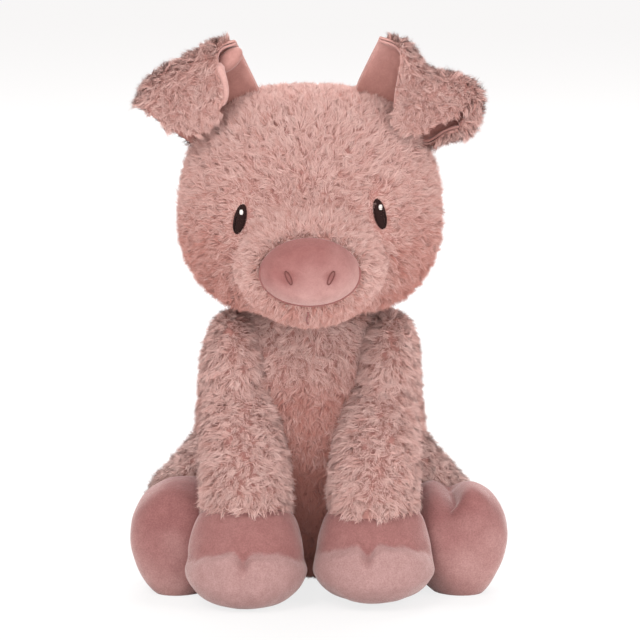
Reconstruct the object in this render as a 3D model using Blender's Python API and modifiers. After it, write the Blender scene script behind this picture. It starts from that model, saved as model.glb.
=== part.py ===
"""Seated plush pig: sewn fabric covers over stuffed fillings, joined at soft seams.

Metres, +Z up. The pig faces -Y and sits on z = 0, with the origin at the middle of
its seat. Left and right are as seen from the front, so left is -X.
Each stuffed piece is a coarse cage of rings with Subdivision Surface, swelled to its
named size. The covers are shells of those forms, and the fillings fit inside them.
"""
import math

import bmesh
import bpy
from mathutils import Matrix, Vector

# Fabrics and seams
SEAM_GAP = 0.0003
TURNING_GAP = 0.0006
FILLING_GAP = 0.0008
WELD_DISTANCE = 0.00002
PLUSH = 0.0045
VELBOA = 0.002
FLOOR_PRESS = 0.0005
OVERRUN = 0.06

# Body
TORSO_WIDTH = 0.110
TORSO_DEPTH = 0.110
TORSO_HEIGHT = 0.128
TORSO_BACK = 0.050
NECK_RADIUS = 0.036
NECK_Y = -0.021
NECK_DROP = 0.015
NECK_Z = TORSO_HEIGHT - NECK_DROP
NECK_OPENING_RADIUS = 0.016
PELLET_BAG_WIDTH = 0.046
PELLET_BAG_DEPTH = 0.052
PELLET_BAG_HEIGHT = 0.022

# Head
HEAD_WIDTH = 0.122
HEAD_DEPTH = 0.100
HEAD_HEIGHT = 0.105
HEAD_Y = -0.040
HEAD_BOTTOM = TORSO_HEIGHT
MUZZLE_WIDTH = 0.068
MUZZLE_LENGTH = 0.058
MUZZLE_HEIGHT = 0.058
MUZZLE_PROUD = 0.023
MUZZLE_RISE = 0.0295
MUZZLE_FRONT = HEAD_Y - HEAD_DEPTH / 2 - MUZZLE_PROUD
MUZZLE_Z = HEAD_BOTTOM + MUZZLE_RISE
SNOUT_WIDTH = 0.0455
SNOUT_LENGTH = 0.012
SNOUT_HEIGHT = 0.031
SNOUT_PROUD = 0.005
SNOUT_Z = MUZZLE_Z

# Embroidery
THREAD_THICKNESS = 0.0012
EYE_WIDTH = 0.0055
EYE_HEIGHT = 0.0137
EYE_SPACING = 0.063
EYE_RISE = 0.0515
EYE_Z = HEAD_BOTTOM + EYE_RISE
EYE_LEAN = math.radians(12)
HIGHLIGHT_WIDTH = 0.0024
HIGHLIGHT_HEIGHT = 0.0034
HIGHLIGHT_INWARD = 0.0007
HIGHLIGHT_RISE = 0.0030
HIGHLIGHT_THICKNESS = 0.0006
NOSTRIL_LENGTH = 0.0075
NOSTRIL_WIDTH = 0.0032
NOSTRIL_THREAD = 0.0008
NOSTRIL_TIP = 0.0012
NOSTRIL_SPACING = 0.0190
NOSTRIL_DROP = 0.0018
NOSTRIL_LEAN = math.radians(26)
MOUTH_WIDTH = 0.0014
MOUTH_LENGTH = 0.0055
MOUTH_DROP = 0.0205

# Ears: a two-layer sheet that rises from its root, bends forward and hangs in front
EAR_ANGLE = math.radians(44)
EAR_WIDTH = 0.052
EAR_ROOT_WIDTH = 0.033
EAR_RISE = 0.0180
EAR_BEND_RADIUS = 0.0085
EAR_FLAP = 0.027
EAR_FLAP_FLARE = math.radians(14)
EAR_FLAP_SLIDE = 0.006
EAR_PLUSH = 0.0035
EAR_LINING = 0.0014
EAR_ROOT_RADIUS = 0.0032
EAR_ROOT_LIFT = 0.0012

# Front legs
SHOULDER_INWARD = 0.0205
SHOULDER_DROP = 0.027
SHOULDER_X = TORSO_WIDTH / 2 - SHOULDER_INWARD
SHOULDER_Y = -0.041
SHOULDER_Z = TORSO_HEIGHT - SHOULDER_DROP
SHOULDER_HALF_WIDTH = 0.0170
SHOULDER_RADIUS = 0.0235
SHOULDER_TUCK = 0.0100
SHOULDER_INSET = 0.0055
LEG_WIDTH = 0.045
LEG_DEPTH = 0.046
LEG_INWARD = 0.0260
LEG_X = TORSO_WIDTH / 2 - LEG_INWARD
LEG_FOOT_Y = -0.070
ANKLE_Z = 0.037
ANKLE_OVERLAP = 0.008
ANKLE_COLUMN = 0.008
ANKLE_COLUMN_OUTWARD = 0.0055
FOOT_WIDTH = 0.0545
FOOT_DEPTH = 0.052
FOOT_HEIGHT = 0.047
FOOT_AHEAD = 0.0085
FOOT_Y = LEG_FOOT_Y - FOOT_AHEAD

# Hind legs
HIP_INWARD = 0.008
HIP_X = TORSO_WIDTH / 2 - HIP_INWARD
HIP_Y = 0.006
HIP_Z = 0.0365
HIP_RADIUS = 0.0235
HIP_HALF_HEIGHT = 0.0335
HAUNCH_LENGTH = 0.074
HAUNCH_BEHIND_HIP = 0.014
HAUNCH_WIDTH = 0.047
HAUNCH_HEIGHT = 0.068
HAUNCH_TURN = math.radians(19)
HAUNCH_ROLL = math.radians(13)
HIND_FOOT_WIDTH = 0.046
HIND_FOOT_LENGTH = 0.048
HIND_FOOT_HEIGHT = 0.0535
HIND_ANKLE = 0.028
HIND_FOOT_REACH = 0.018

# Tail
TAIL_Z = 0.044
TAIL_ROOT_RADIUS = 0.0045
TAIL_THICKNESS = 0.0064
TAIL_CURL_RADIUS = 0.0080
TAIL_STALK = 0.008
TAIL_CURL_LENGTH = 0.011
TAIL_TURNS = 1.15
TAIL_TIP_SHARE = 0.45

# Rings of each cage, from its low end to its high end:
# height share, half-width share, half-depth share, shift share along the depth
TORSO_RING_SHARES = (
    (0.00, 0.60, 0.60, 0.10),
    (0.07, 0.84, 0.84, 0.10),
    (0.28, 1.00, 1.00, 0.08),
    (0.52, 0.97, 0.96, -0.02),
    (0.74, 0.93, 0.84, -0.14),
    (0.92, 0.84, 0.66, -0.26),
    (1.00, 0.58, 0.40, -0.32),
)
HEAD_RING_SHARES = (
    (0.00, 0.48, 0.50, 0.00),
    (0.06, 0.76, 0.76, 0.00),
    (0.25, 0.98, 0.97, -0.01),
    (0.46, 1.02, 1.00, 0.00),
    (0.72, 0.95, 0.93, 0.02),
    (0.94, 0.68, 0.66, 0.05),
    (1.00, 0.36, 0.36, 0.06),
)
MUZZLE_RING_SHARES = (
    (0.00, 0.90, 0.90, 0.16),
    (0.45, 1.00, 1.00, 0.10),
    (0.84, 0.86, 0.78, 0.00),
    (1.00, 0.56, 0.50, -0.02),
)
SNOUT_RING_SHARES = (
    (0.00, 0.92, 0.92, 0.00),
    (0.40, 1.00, 1.00, 0.00),
    (0.86, 0.98, 0.98, 0.00),
    (1.00, 0.80, 0.76, 0.00),
)
LEG_RING_SHARES = (
    (0.00, 0.96, 0.96, 0.00),
    (0.22, 1.02, 1.00, 0.04),
    (0.52, 0.96, 0.94, 0.42),
    (0.84, 0.76, 0.84, 1.10),
    (1.00, 0.44, 0.52, 1.26),
)
LEG_SPREAD_SHARES = (0.00, 0.00, 0.06, 0.18, 0.22)
FOOT_RING_SHARES = (
    (0.00, 0.78, 0.76, 0.00),
    (0.14, 0.98, 0.98, -0.04),
    (0.42, 1.02, 1.00, -0.04),
    (0.76, 0.88, 0.80, 0.12),
    (1.00, 0.66, 0.58, 0.20),
)
HAUNCH_RING_SHARES = (
    (0.00, 0.60, 0.62, 0.00),
    (0.16, 0.92, 0.94, 0.00),
    (0.42, 1.02, 1.02, 0.00),
    (0.74, 0.94, 0.86, -0.14),
    (1.00, 0.86, 0.72, -0.22),
)
HIND_FOOT_RING_SHARES = (
    (0.00, 0.70, 0.72, 0.00),
    (0.20, 0.96, 0.96, 0.00),
    (0.52, 1.02, 1.02, 0.00),
    (0.86, 0.88, 0.90, 0.00),
    (1.00, 0.58, 0.62, 0.00),
)
PELLET_RING_SHARES = (
    (0.00, 0.70, 0.70, 0.00),
    (0.30, 1.00, 1.00, 0.00),
    (0.70, 1.00, 1.00, 0.00),
    (1.00, 0.66, 0.66, 0.00),
)
EAR_WIDTH_SHARES = (0.00, 0.42, 0.80, 1.00, 1.00, 0.97, 0.92, 0.80, 0.52)
EAR_TAPER_SHARE = 0.28

# Counts
SWELL_LEVELS = 1
BODY_SEGMENTS = 12
BODY_INNER_SEGMENTS = 8
LIMB_SEGMENTS = 10
LIMB_INNER_SEGMENTS = 6
NECK_SEGMENTS = 20
BALL_SEGMENTS = 16
INNER_BALL_SEGMENTS = 10
TAIL_POINTS = 15
EAR_COLUMNS = 6
EAR_RISE_ROWS = 3
EAR_BEND_ROWS = 4
EAR_FLAP_ROWS = 2
OVAL_POINTS = 18
LEAF_POINTS = 7
OPENING_SEGMENTS = 20

SIDES = (("left", -1), ("right", 1))

# Colours
PLUSH_PINK = (0.56, 0.33, 0.30)
VELBOA_ROSE = (0.50, 0.25, 0.23)
SNOUT_ROSE = (0.52, 0.28, 0.26)
LINING_PINK = (0.48, 0.24, 0.20)
EYE_BROWN = (0.035, 0.012, 0.010)
THREAD_WHITE = (0.85, 0.80, 0.78)
THREAD_ROSE = (0.30, 0.12, 0.10)
FIBRE_WHITE = (0.85, 0.85, 0.83)
BAG_WHITE = (0.70, 0.70, 0.66)
FABRIC_ROUGHNESS = 0.9
THREAD_ROUGHNESS = 0.45


def clear_scene():
    for obj in list(bpy.data.objects):
        bpy.data.objects.remove(obj, do_unlink=True)


def new_collection(name):
    collection = bpy.data.collections.new(name)
    bpy.context.scene.collection.children.link(collection)
    return collection


clear_scene()
PIG = new_collection("plush_pig")
CUTTERS = new_collection("cutters")


def new_object(name, mesh, collection, frame=None):
    obj = bpy.data.objects.new(name, mesh)
    collection.objects.link(obj)
    obj.matrix_world = frame or Matrix.Identity(4)
    if collection is CUTTERS:
        obj.hide_render = True
        obj.display_type = "WIRE"
    return obj


def mesh_from(name, bm):
    mesh = bpy.data.meshes.new(name)
    bm.to_mesh(mesh)
    bm.free()
    mesh.shade_smooth()
    return mesh


def finish_part(obj, colour, roughness, joint=None):
    """Weld a part's seams, give it its own material, and hang it on its joint's empty."""
    material = bpy.data.materials.new(obj.name)
    material.use_nodes = True
    shader = material.node_tree.nodes["Principled BSDF"]
    shader.inputs["Base Color"].default_value = (*colour, 1)
    shader.inputs["Roughness"].default_value = roughness
    shader.inputs["Metallic"].default_value = 0
    obj.data.materials.append(material)
    weld = obj.modifiers.new("weld", "WELD")
    weld.merge_threshold = WELD_DISTANCE
    if joint:
        obj.parent = joint
        obj.matrix_parent_inverse = Matrix.Translation(joint.location).inverted()
    return obj


def joint_empty(name, place, parent=None):
    empty = bpy.data.objects.new(name, None)
    PIG.objects.link(empty)
    empty.location = place
    if parent:
        empty.parent = parent
        empty.matrix_parent_inverse = Matrix.Translation(parent.location).inverted()
    return empty


def boolean(obj, other, operation="DIFFERENCE", solver="EXACT"):
    modifier = obj.modifiers.new(f"{operation.lower()} {other.name}", "BOOLEAN")
    modifier.operation = operation
    modifier.solver = solver
    modifier.object = other
    return obj


def evaluated_bounds(obj):
    bpy.context.view_layer.update()
    mesh = obj.evaluated_get(bpy.context.evaluated_depsgraph_get()).data
    points = [vertex.co for vertex in mesh.vertices]
    low = Vector([min(point[axis] for point in points) for axis in range(3)])
    high = Vector([max(point[axis] for point in points) for axis in range(3)])
    return low, high


class Form:
    """A soft form: rings of a cage inside a box of its own frame, from low z to high z."""

    def __init__(self, low, high, rings, frame=None, segments=LIMB_SEGMENTS,
                 inner_segments=LIMB_INNER_SEGMENTS, spread=None):
        self.low = Vector(low)
        self.high = Vector(high)
        self.rings = rings
        self.frame = frame or Matrix.Identity(4)
        self.segments = segments
        self.inner_segments = inner_segments
        self.spread = spread or [0] * len(rings)

    def cage(self, segments):
        bm = bmesh.new()
        previous = None
        for (height, width, depth, shift), spread in zip(self.rings, self.spread):
            ring = []
            for index in range(segments):
                angle = math.tau * (index + 1 / 2) / segments
                across = spread + width * math.cos(angle)
                along = shift + depth * math.sin(angle)
                ring.append(bm.verts.new((across, along, height)))
            if previous:
                for index in range(segments):
                    after = (index + 1) % segments
                    bm.faces.new((previous[index], previous[after], ring[after], ring[index]))
            else:
                bm.faces.new(reversed(ring))
            previous = ring
        bm.faces.new(previous)
        return bm

    def make(self, name, collection, growth=0, inner=False):
        """Build the form as an object, swelled to its box, which grows by growth all round."""
        segments = self.inner_segments if inner else self.segments
        obj = new_object(name, mesh_from(name, self.cage(segments)), collection, self.frame)
        modifier = obj.modifiers.new("swell", "SUBSURF")
        modifier.levels = SWELL_LEVELS
        modifier.render_levels = SWELL_LEVELS
        low, high = evaluated_bounds(obj)
        scale = Vector([(self.high[axis] - self.low[axis]) / (high[axis] - low[axis])
                        for axis in range(3)])
        # One level of Subdivision Surface draws each ring of the cage in by this share
        drawn_in_share = 3 / 4 + math.cos(math.tau / segments) / 4
        outward = growth / drawn_in_share
        stretch = 1 + 2 * growth / (self.high.z - self.low.z)
        middle_z = (self.low.z + self.high.z) / 2
        for vertex in obj.data.vertices:
            ring = vertex.index // segments
            centre = Vector((self.spread[ring], self.rings[ring][3], vertex.co.z))
            centre = self.low + (centre - low) * scale
            place = self.low + (vertex.co - low) * scale
            place += (place - centre).normalized() * outward
            place.z = middle_z + (place.z - middle_z) * stretch
            vertex.co = place
        return obj


def ball(name, seat, growth=0, segments=BALL_SEGMENTS):
    """A seat's ball, its poles on the joint axis, so that it turns freely in its socket."""
    centre, axis, pole_radius, radius = seat
    bm = bmesh.new()
    bmesh.ops.create_uvsphere(bm, u_segments=segments, v_segments=segments // 2, radius=1)
    wide = radius + growth
    bmesh.ops.scale(bm, vec=(wide, wide, pole_radius + growth), verts=bm.verts)
    turn = Vector(axis).to_track_quat("Z", "Y").to_matrix().to_4x4()
    frame = Matrix.Translation(centre) @ turn
    return new_object(name, mesh_from(name, bm), CUTTERS, frame)


def rod(name, start, end, radius, segments=OPENING_SEGMENTS):
    """A closed cylinder from start to end, as a cutter."""
    start = Vector(start)
    span = Vector(end) - start
    bm = bmesh.new()
    bmesh.ops.create_cone(bm, cap_ends=True, segments=segments, radius1=radius,
                          radius2=radius, depth=span.length)
    turn = span.to_track_quat("Z", "Y").to_matrix().to_4x4()
    frame = Matrix.Translation(start + span / 2) @ turn
    return new_object(name, mesh_from(name, bm), CUTTERS, frame)


def slab(name, low, high, frame=None):
    """A box between two corners of a frame, as a cutter."""
    low = Vector(low)
    high = Vector(high)
    bm = bmesh.new()
    bmesh.ops.create_cube(bm, size=1)
    bmesh.ops.scale(bm, vec=high - low, verts=bm.verts)
    bmesh.ops.translate(bm, vec=(low + high) / 2, verts=bm.verts)
    return new_object(name, mesh_from(name, bm), CUTTERS, frame)


def prism(name, outlines, centre_x, front_y, back_y):
    """Outlines of (x, z) points filled and extruded along Y, as a closed mesh."""
    curve = bpy.data.curves.new(name, "CURVE")
    curve.dimensions = "2D"
    curve.fill_mode = "BOTH"
    curve.extrude = (back_y - front_y) / 2
    for outline in outlines:
        spline = curve.splines.new("POLY")
        spline.points.add(len(outline) - 1)
        for point, (across, up) in zip(spline.points, outline):
            point.co = (across, up, 0, 1)
        spline.use_cyclic_u = True
    turn = Matrix.Rotation(math.radians(90), 4, "X")
    place = Matrix.Translation((centre_x, (front_y + back_y) / 2, 0))
    guide = new_object(f"{name}_curve", curve, CUTTERS, place @ turn)
    bpy.context.view_layer.update()
    guide_evaluated = guide.evaluated_get(bpy.context.evaluated_depsgraph_get())
    mesh = bpy.data.meshes.new_from_object(guide_evaluated)
    bm = bmesh.new()
    bm.from_mesh(mesh)
    bmesh.ops.remove_doubles(bm, verts=bm.verts, dist=WELD_DISTANCE)
    bmesh.ops.recalc_face_normals(bm, faces=bm.faces)
    obj = new_object(name, mesh_from(name, bm), PIG, guide.matrix_world)
    bpy.data.objects.remove(guide)
    bpy.data.meshes.remove(mesh)
    return obj


def oval(width, height, lean, centre_z, across=0):
    """Points of a leaning oval about (across, centre_z)."""
    points = []
    for index in range(OVAL_POINTS):
        angle = math.tau * index / OVAL_POINTS
        x = width / 2 * math.cos(angle)
        z = height / 2 * math.sin(angle)
        points.append((across + x * math.cos(lean) + z * math.sin(lean),
                       centre_z - x * math.sin(lean) + z * math.cos(lean)))
    return points


def leaf(width, length, lean, centre_z):
    """Points of a leaf with pointed ends, its long side leaning from upright."""
    points = []
    for side in (1, -1):
        for index in range(LEAF_POINTS):
            share = index / LEAF_POINTS
            x = side * width / 2 * math.sin(math.pi * share)
            z = side * length * (1 / 2 - share)
            points.append((x * math.cos(lean) + z * math.sin(lean),
                           centre_z - x * math.sin(lean) + z * math.cos(lean)))
    return points


def stitched(name, outlines, centre_x, form, gap, thickness):
    """Embroidery: an outline's prism, kept where it lies on the front of a form."""
    back_y = (form.frame @ ((form.low + form.high) / 2)).y
    front_y = back_y - OVERRUN
    obj = prism(name, outlines, centre_x, front_y, back_y)
    boolean(obj, form.make(f"{name}_top", CUTTERS, gap + thickness), "INTERSECT")
    boolean(obj, form.make(f"{name}_seat", CUTTERS, gap))
    return obj


FACING_FRONT = Matrix.Rotation(math.radians(90), 4, "X")

# The stuffed forms at their outside
torso_form = Form(
    (-TORSO_WIDTH / 2, TORSO_BACK - TORSO_DEPTH, -FLOOR_PRESS),
    (TORSO_WIDTH / 2, TORSO_BACK, TORSO_HEIGHT),
    TORSO_RING_SHARES, segments=BODY_SEGMENTS, inner_segments=BODY_INNER_SEGMENTS)
head_form = Form(
    (-HEAD_WIDTH / 2, -HEAD_DEPTH / 2, 0),
    (HEAD_WIDTH / 2, HEAD_DEPTH / 2, HEAD_HEIGHT),
    HEAD_RING_SHARES, Matrix.Translation((0, HEAD_Y, HEAD_BOTTOM)),
    BODY_SEGMENTS, BODY_INNER_SEGMENTS)
muzzle_form = Form(
    (-MUZZLE_WIDTH / 2, -MUZZLE_HEIGHT / 2, 0),
    (MUZZLE_WIDTH / 2, MUZZLE_HEIGHT / 2, MUZZLE_LENGTH),
    MUZZLE_RING_SHARES,
    Matrix.Translation((0, MUZZLE_FRONT + MUZZLE_LENGTH, MUZZLE_Z)) @ FACING_FRONT,
    BODY_SEGMENTS, BODY_INNER_SEGMENTS)
snout_form = Form(
    (-SNOUT_WIDTH / 2, -SNOUT_HEIGHT / 2, 0),
    (SNOUT_WIDTH / 2, SNOUT_HEIGHT / 2, SNOUT_LENGTH),
    SNOUT_RING_SHARES,
    Matrix.Translation((0, MUZZLE_FRONT - SNOUT_PROUD + SNOUT_LENGTH, SNOUT_Z)) @ FACING_FRONT)
bag_bottom = PLUSH - FLOOR_PRESS + SEAM_GAP
pellet_form = Form(
    (-PELLET_BAG_WIDTH / 2, -PELLET_BAG_DEPTH / 2, bag_bottom),
    (PELLET_BAG_WIDTH / 2, PELLET_BAG_DEPTH / 2, bag_bottom + PELLET_BAG_HEIGHT),
    PELLET_RING_SHARES)

bpy.context.view_layer.update()
head_surface = head_form.make("head_surface", CUTTERS)
bpy.context.view_layer.update()
head_surface = head_surface.evaluated_get(bpy.context.evaluated_depsgraph_get())

# Each seat: its centre, its joint axis, its radius along that axis and across it
neck_seat = (Vector((0, NECK_Y, NECK_Z)), (1, 0, 0), NECK_RADIUS, NECK_RADIUS)
tail_seat = (Vector((0, TORSO_BACK, TAIL_Z)), (0, 0, 1), TAIL_ROOT_RADIUS, TAIL_ROOT_RADIUS)
floor = slab("floor", (-OVERRUN - TORSO_WIDTH, -OVERRUN - TORSO_WIDTH, -OVERRUN),
             (OVERRUN + TORSO_WIDTH, OVERRUN + TORSO_WIDTH, 0))


def shoulder_seat(side):
    centre = Vector((side * SHOULDER_X, SHOULDER_Y, SHOULDER_Z))
    return centre, (1, 0, 0), SHOULDER_HALF_WIDTH, SHOULDER_RADIUS


def hip_seat(side):
    centre = Vector((side * HIP_X, HIP_Y, HIP_Z))
    return centre, (0, 0, 1), HIP_HALF_HEIGHT, HIP_RADIUS


def leg_form(side):
    """The leg from inside its foot up to inside its shoulder, leaning back as it rises."""
    lean = SHOULDER_Y - LEG_FOOT_Y
    return Form((-LEG_WIDTH / 2, -LEG_DEPTH / 2, ANKLE_Z - ANKLE_OVERLAP),
                (LEG_WIDTH / 2, lean + SHOULDER_RADIUS - SHOULDER_INSET,
                 SHOULDER_Z + SHOULDER_TUCK),
                LEG_RING_SHARES, Matrix.Translation((side * LEG_X, LEG_FOOT_Y, 0)),
                spread=[side * share for share in LEG_SPREAD_SHARES])


def foot_form(side):
    return Form((-FOOT_WIDTH / 2, -FOOT_DEPTH / 2, -FLOOR_PRESS),
                (FOOT_WIDTH / 2, FOOT_DEPTH / 2, FOOT_HEIGHT),
                FOOT_RING_SHARES, Matrix.Translation((side * LEG_X, FOOT_Y, 0)))


def hind_frame(side):
    """From the hip, local z runs forward and outward along the leg, and local y is up."""
    turn = Matrix.Rotation(side * HAUNCH_TURN, 4, "Z")
    return Matrix.Translation(hip_seat(side)[0]) @ turn @ FACING_FRONT


def haunch_form(side):
    """The haunch, rolled so that its top leans in towards the torso."""
    return Form((-HAUNCH_WIDTH / 2, -HAUNCH_HEIGHT / 2, -HAUNCH_BEHIND_HIP),
                (HAUNCH_WIDTH / 2, HAUNCH_HEIGHT / 2, HAUNCH_LENGTH - HAUNCH_BEHIND_HIP),
                HAUNCH_RING_SHARES,
                hind_frame(side) @ Matrix.Rotation(side * HAUNCH_ROLL, 4, "Z"))


def hind_foot_form(side):
    low_y = -HIP_Z - FLOOR_PRESS
    low_z = HIND_ANKLE + HIND_FOOT_REACH - HIND_FOOT_LENGTH / 2
    return Form((-HIND_FOOT_WIDTH / 2, low_y, low_z),
                (HIND_FOOT_WIDTH / 2, low_y + HIND_FOOT_HEIGHT, low_z + HIND_FOOT_LENGTH),
                HIND_FOOT_RING_SHARES, hind_frame(side))


def cut_torso_sockets(obj, growth, segments):
    """Cut the shoulder, hip and tail seats, grown by growth, from the torso."""
    for word, side in SIDES:
        boolean(obj, ball(f"{obj.name}_shoulder_{word}", shoulder_seat(side), growth, segments))
        boolean(obj, ball(f"{obj.name}_hip_{word}", hip_seat(side), growth, segments))
    boolean(obj, ball(f"{obj.name}_tail", tail_seat, growth, INNER_BALL_SEGMENTS))


def neck_opening(name, radius):
    """A column that opens the torso and the head into each other at the neck."""
    centre = neck_seat[0]
    return rod(name, centre, centre + Vector((0, 0, NECK_RADIUS + OVERRUN / 2)), radius)


def make_torso():
    cavity = torso_form.make("torso_cavity", CUTTERS, -PLUSH, inner=True)
    boolean(cavity, ball("torso_cavity_neck", neck_seat, -PLUSH, BALL_SEGMENTS), "UNION")
    cut_torso_sockets(cavity, TURNING_GAP + PLUSH, INNER_BALL_SEGMENTS)

    cover = torso_form.make("torso_cover", PIG)
    boolean(cover, ball("neck_dome", neck_seat, 0, NECK_SEGMENTS), "UNION")
    boolean(cover, floor)
    cut_torso_sockets(cover, TURNING_GAP, BALL_SEGMENTS)
    boolean(cover, cavity)
    boolean(cover, neck_opening("torso_neck_hole", NECK_OPENING_RADIUS))
    finish_part(cover, PLUSH_PINK, FABRIC_ROUGHNESS)

    inset = PLUSH + FILLING_GAP
    filling = torso_form.make("torso_filling", PIG, -inset, inner=True)
    boolean(filling, ball("torso_filling_neck", neck_seat, -inset, BALL_SEGMENTS), "UNION")
    cut_torso_sockets(filling, TURNING_GAP + inset, INNER_BALL_SEGMENTS)
    plug = neck_opening("torso_neck_plug", NECK_OPENING_RADIUS - FILLING_GAP)
    boolean(plug, ball("torso_plug_top", neck_seat, 0, NECK_SEGMENTS), "INTERSECT")
    boolean(filling, plug, "UNION")
    boolean(filling, pellet_form.make("pellet_pocket", CUTTERS, SEAM_GAP))
    finish_part(filling, FIBRE_WHITE, FABRIC_ROUGHNESS)

    finish_part(pellet_form.make("pellet_bag", PIG), BAG_WHITE, FABRIC_ROUGHNESS)


def ear_axis(side):
    """The ear's root line on the head: its middle, its direction and its way outward."""
    centre = head_form.frame @ ((head_form.low + head_form.high) / 2)
    outward = Vector((side * math.sin(EAR_ANGLE), 0, math.cos(EAR_ANGLE)))
    along = Vector((outward.z, 0, -outward.x)) * side
    start = head_form.frame.inverted() @ (centre + outward * HEAD_WIDTH)
    found, place, normal, face = head_surface.ray_cast(start, -outward)
    middle = head_form.frame @ place + outward * EAR_ROOT_LIFT
    return middle, along, outward


def make_head(joint):
    wall = TURNING_GAP + PLUSH
    cavity = head_form.make("head_cavity", CUTTERS, -PLUSH, inner=True)
    boolean(cavity, ball("head_cavity_neck", neck_seat, wall))

    cover = head_form.make("head_cover", PIG)
    boolean(cover, ball("head_neck_seat", neck_seat, TURNING_GAP, NECK_SEGMENTS))
    for word, side in SIDES:
        middle, along, outward = ear_axis(side)
        half = along * (EAR_ROOT_WIDTH / 2 + EAR_ROOT_RADIUS)
        boolean(cover, rod(f"ear_groove_{word}", middle - half, middle + half,
                           EAR_ROOT_RADIUS + SEAM_GAP))
    boolean(cover, cavity)
    boolean(cover, neck_opening("head_neck_hole", NECK_OPENING_RADIUS))
    finish_part(cover, PLUSH_PINK, FABRIC_ROUGHNESS, joint)

    filling = head_form.make("head_filling", PIG, -PLUSH - FILLING_GAP, inner=True)
    boolean(filling, ball("head_filling_neck", neck_seat, wall + FILLING_GAP))
    plug = neck_opening("head_neck_plug", NECK_OPENING_RADIUS - FILLING_GAP)
    boolean(plug, ball("head_plug_seat", neck_seat, TURNING_GAP, NECK_SEGMENTS))
    boolean(filling, plug, "UNION")
    finish_part(filling, FIBRE_WHITE, FABRIC_ROUGHNESS, joint)


def make_muzzle(joint):
    cavity = muzzle_form.make("muzzle_cavity", CUTTERS, -PLUSH, inner=True)
    cover = muzzle_form.make("muzzle_cover", PIG)
    boolean(cover, head_form.make("muzzle_seat", CUTTERS, SEAM_GAP))
    boolean(cover, cavity)
    finish_part(cover, PLUSH_PINK, FABRIC_ROUGHNESS, joint)

    filling = muzzle_form.make("muzzle_filling", PIG, -PLUSH - FILLING_GAP, inner=True)
    boolean(filling, head_form.make("muzzle_filling_seat", CUTTERS, SEAM_GAP))
    finish_part(filling, FIBRE_WHITE, FABRIC_ROUGHNESS, joint)

    snout = snout_form.make("snout_disc", PIG)
    boolean(snout, muzzle_form.make("snout_seat", CUTTERS, SEAM_GAP))
    finish_part(snout, SNOUT_ROSE, FABRIC_ROUGHNESS, joint)


def make_embroidery(joint):
    over_eye = SEAM_GAP + THREAD_THICKNESS + SEAM_GAP
    for word, side in SIDES:
        lean = -side * EYE_LEAN
        eye_x = side * EYE_SPACING / 2
        eye = stitched(f"eye_{word}", [oval(EYE_WIDTH, EYE_HEIGHT, lean, EYE_Z)],
                       eye_x, head_form, SEAM_GAP, THREAD_THICKNESS)
        finish_part(eye, EYE_BROWN, THREAD_ROUGHNESS, joint)
        spot = oval(HIGHLIGHT_WIDTH, HIGHLIGHT_HEIGHT, 0, EYE_Z + HIGHLIGHT_RISE)
        highlight = stitched(f"eye_highlight_{word}", [spot],
                             eye_x - side * HIGHLIGHT_INWARD, head_form,
                             over_eye, HIGHLIGHT_THICKNESS)
        finish_part(highlight, THREAD_WHITE, THREAD_ROUGHNESS, joint)
        lean = side * NOSTRIL_LEAN
        rim = leaf(NOSTRIL_WIDTH, NOSTRIL_LENGTH, lean, SNOUT_Z - NOSTRIL_DROP)
        hole = leaf(NOSTRIL_WIDTH - 2 * NOSTRIL_THREAD, NOSTRIL_LENGTH - 2 * NOSTRIL_TIP,
                    lean, SNOUT_Z - NOSTRIL_DROP)
        nostril = stitched(f"nostril_{word}", [rim, hole], side * NOSTRIL_SPACING / 2,
                           snout_form, SEAM_GAP, NOSTRIL_THREAD)
        finish_part(nostril, THREAD_ROSE, THREAD_ROUGHNESS, joint)
    line = oval(MOUTH_WIDTH, MOUTH_LENGTH, 0, SNOUT_Z - MOUTH_DROP)
    mouth = stitched("mouth_stitch", [line], 0, muzzle_form, SEAM_GAP, THREAD_THICKNESS)
    finish_part(mouth, THREAD_ROSE, THREAD_ROUGHNESS, joint)


def ear_path():
    """Rise and forward reach of the ear sheet, from its root over the bend to its edge."""
    points = [(EAR_RISE * row / EAR_RISE_ROWS, 0) for row in range(EAR_RISE_ROWS)]
    for row in range(EAR_BEND_ROWS):
        angle = (math.pi - EAR_FLAP_FLARE) * row / (EAR_BEND_ROWS - 1)
        points.append((EAR_RISE + EAR_BEND_RADIUS * math.sin(angle),
                       EAR_BEND_RADIUS * (1 - math.cos(angle))))
    rise, reach = points[-1]
    for row in range(1, EAR_FLAP_ROWS + 1):
        down = EAR_FLAP * row / EAR_FLAP_ROWS
        points.append((rise - down * math.cos(EAR_FLAP_FLARE),
                       reach + down * math.sin(EAR_FLAP_FLARE)))
    return points


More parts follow.
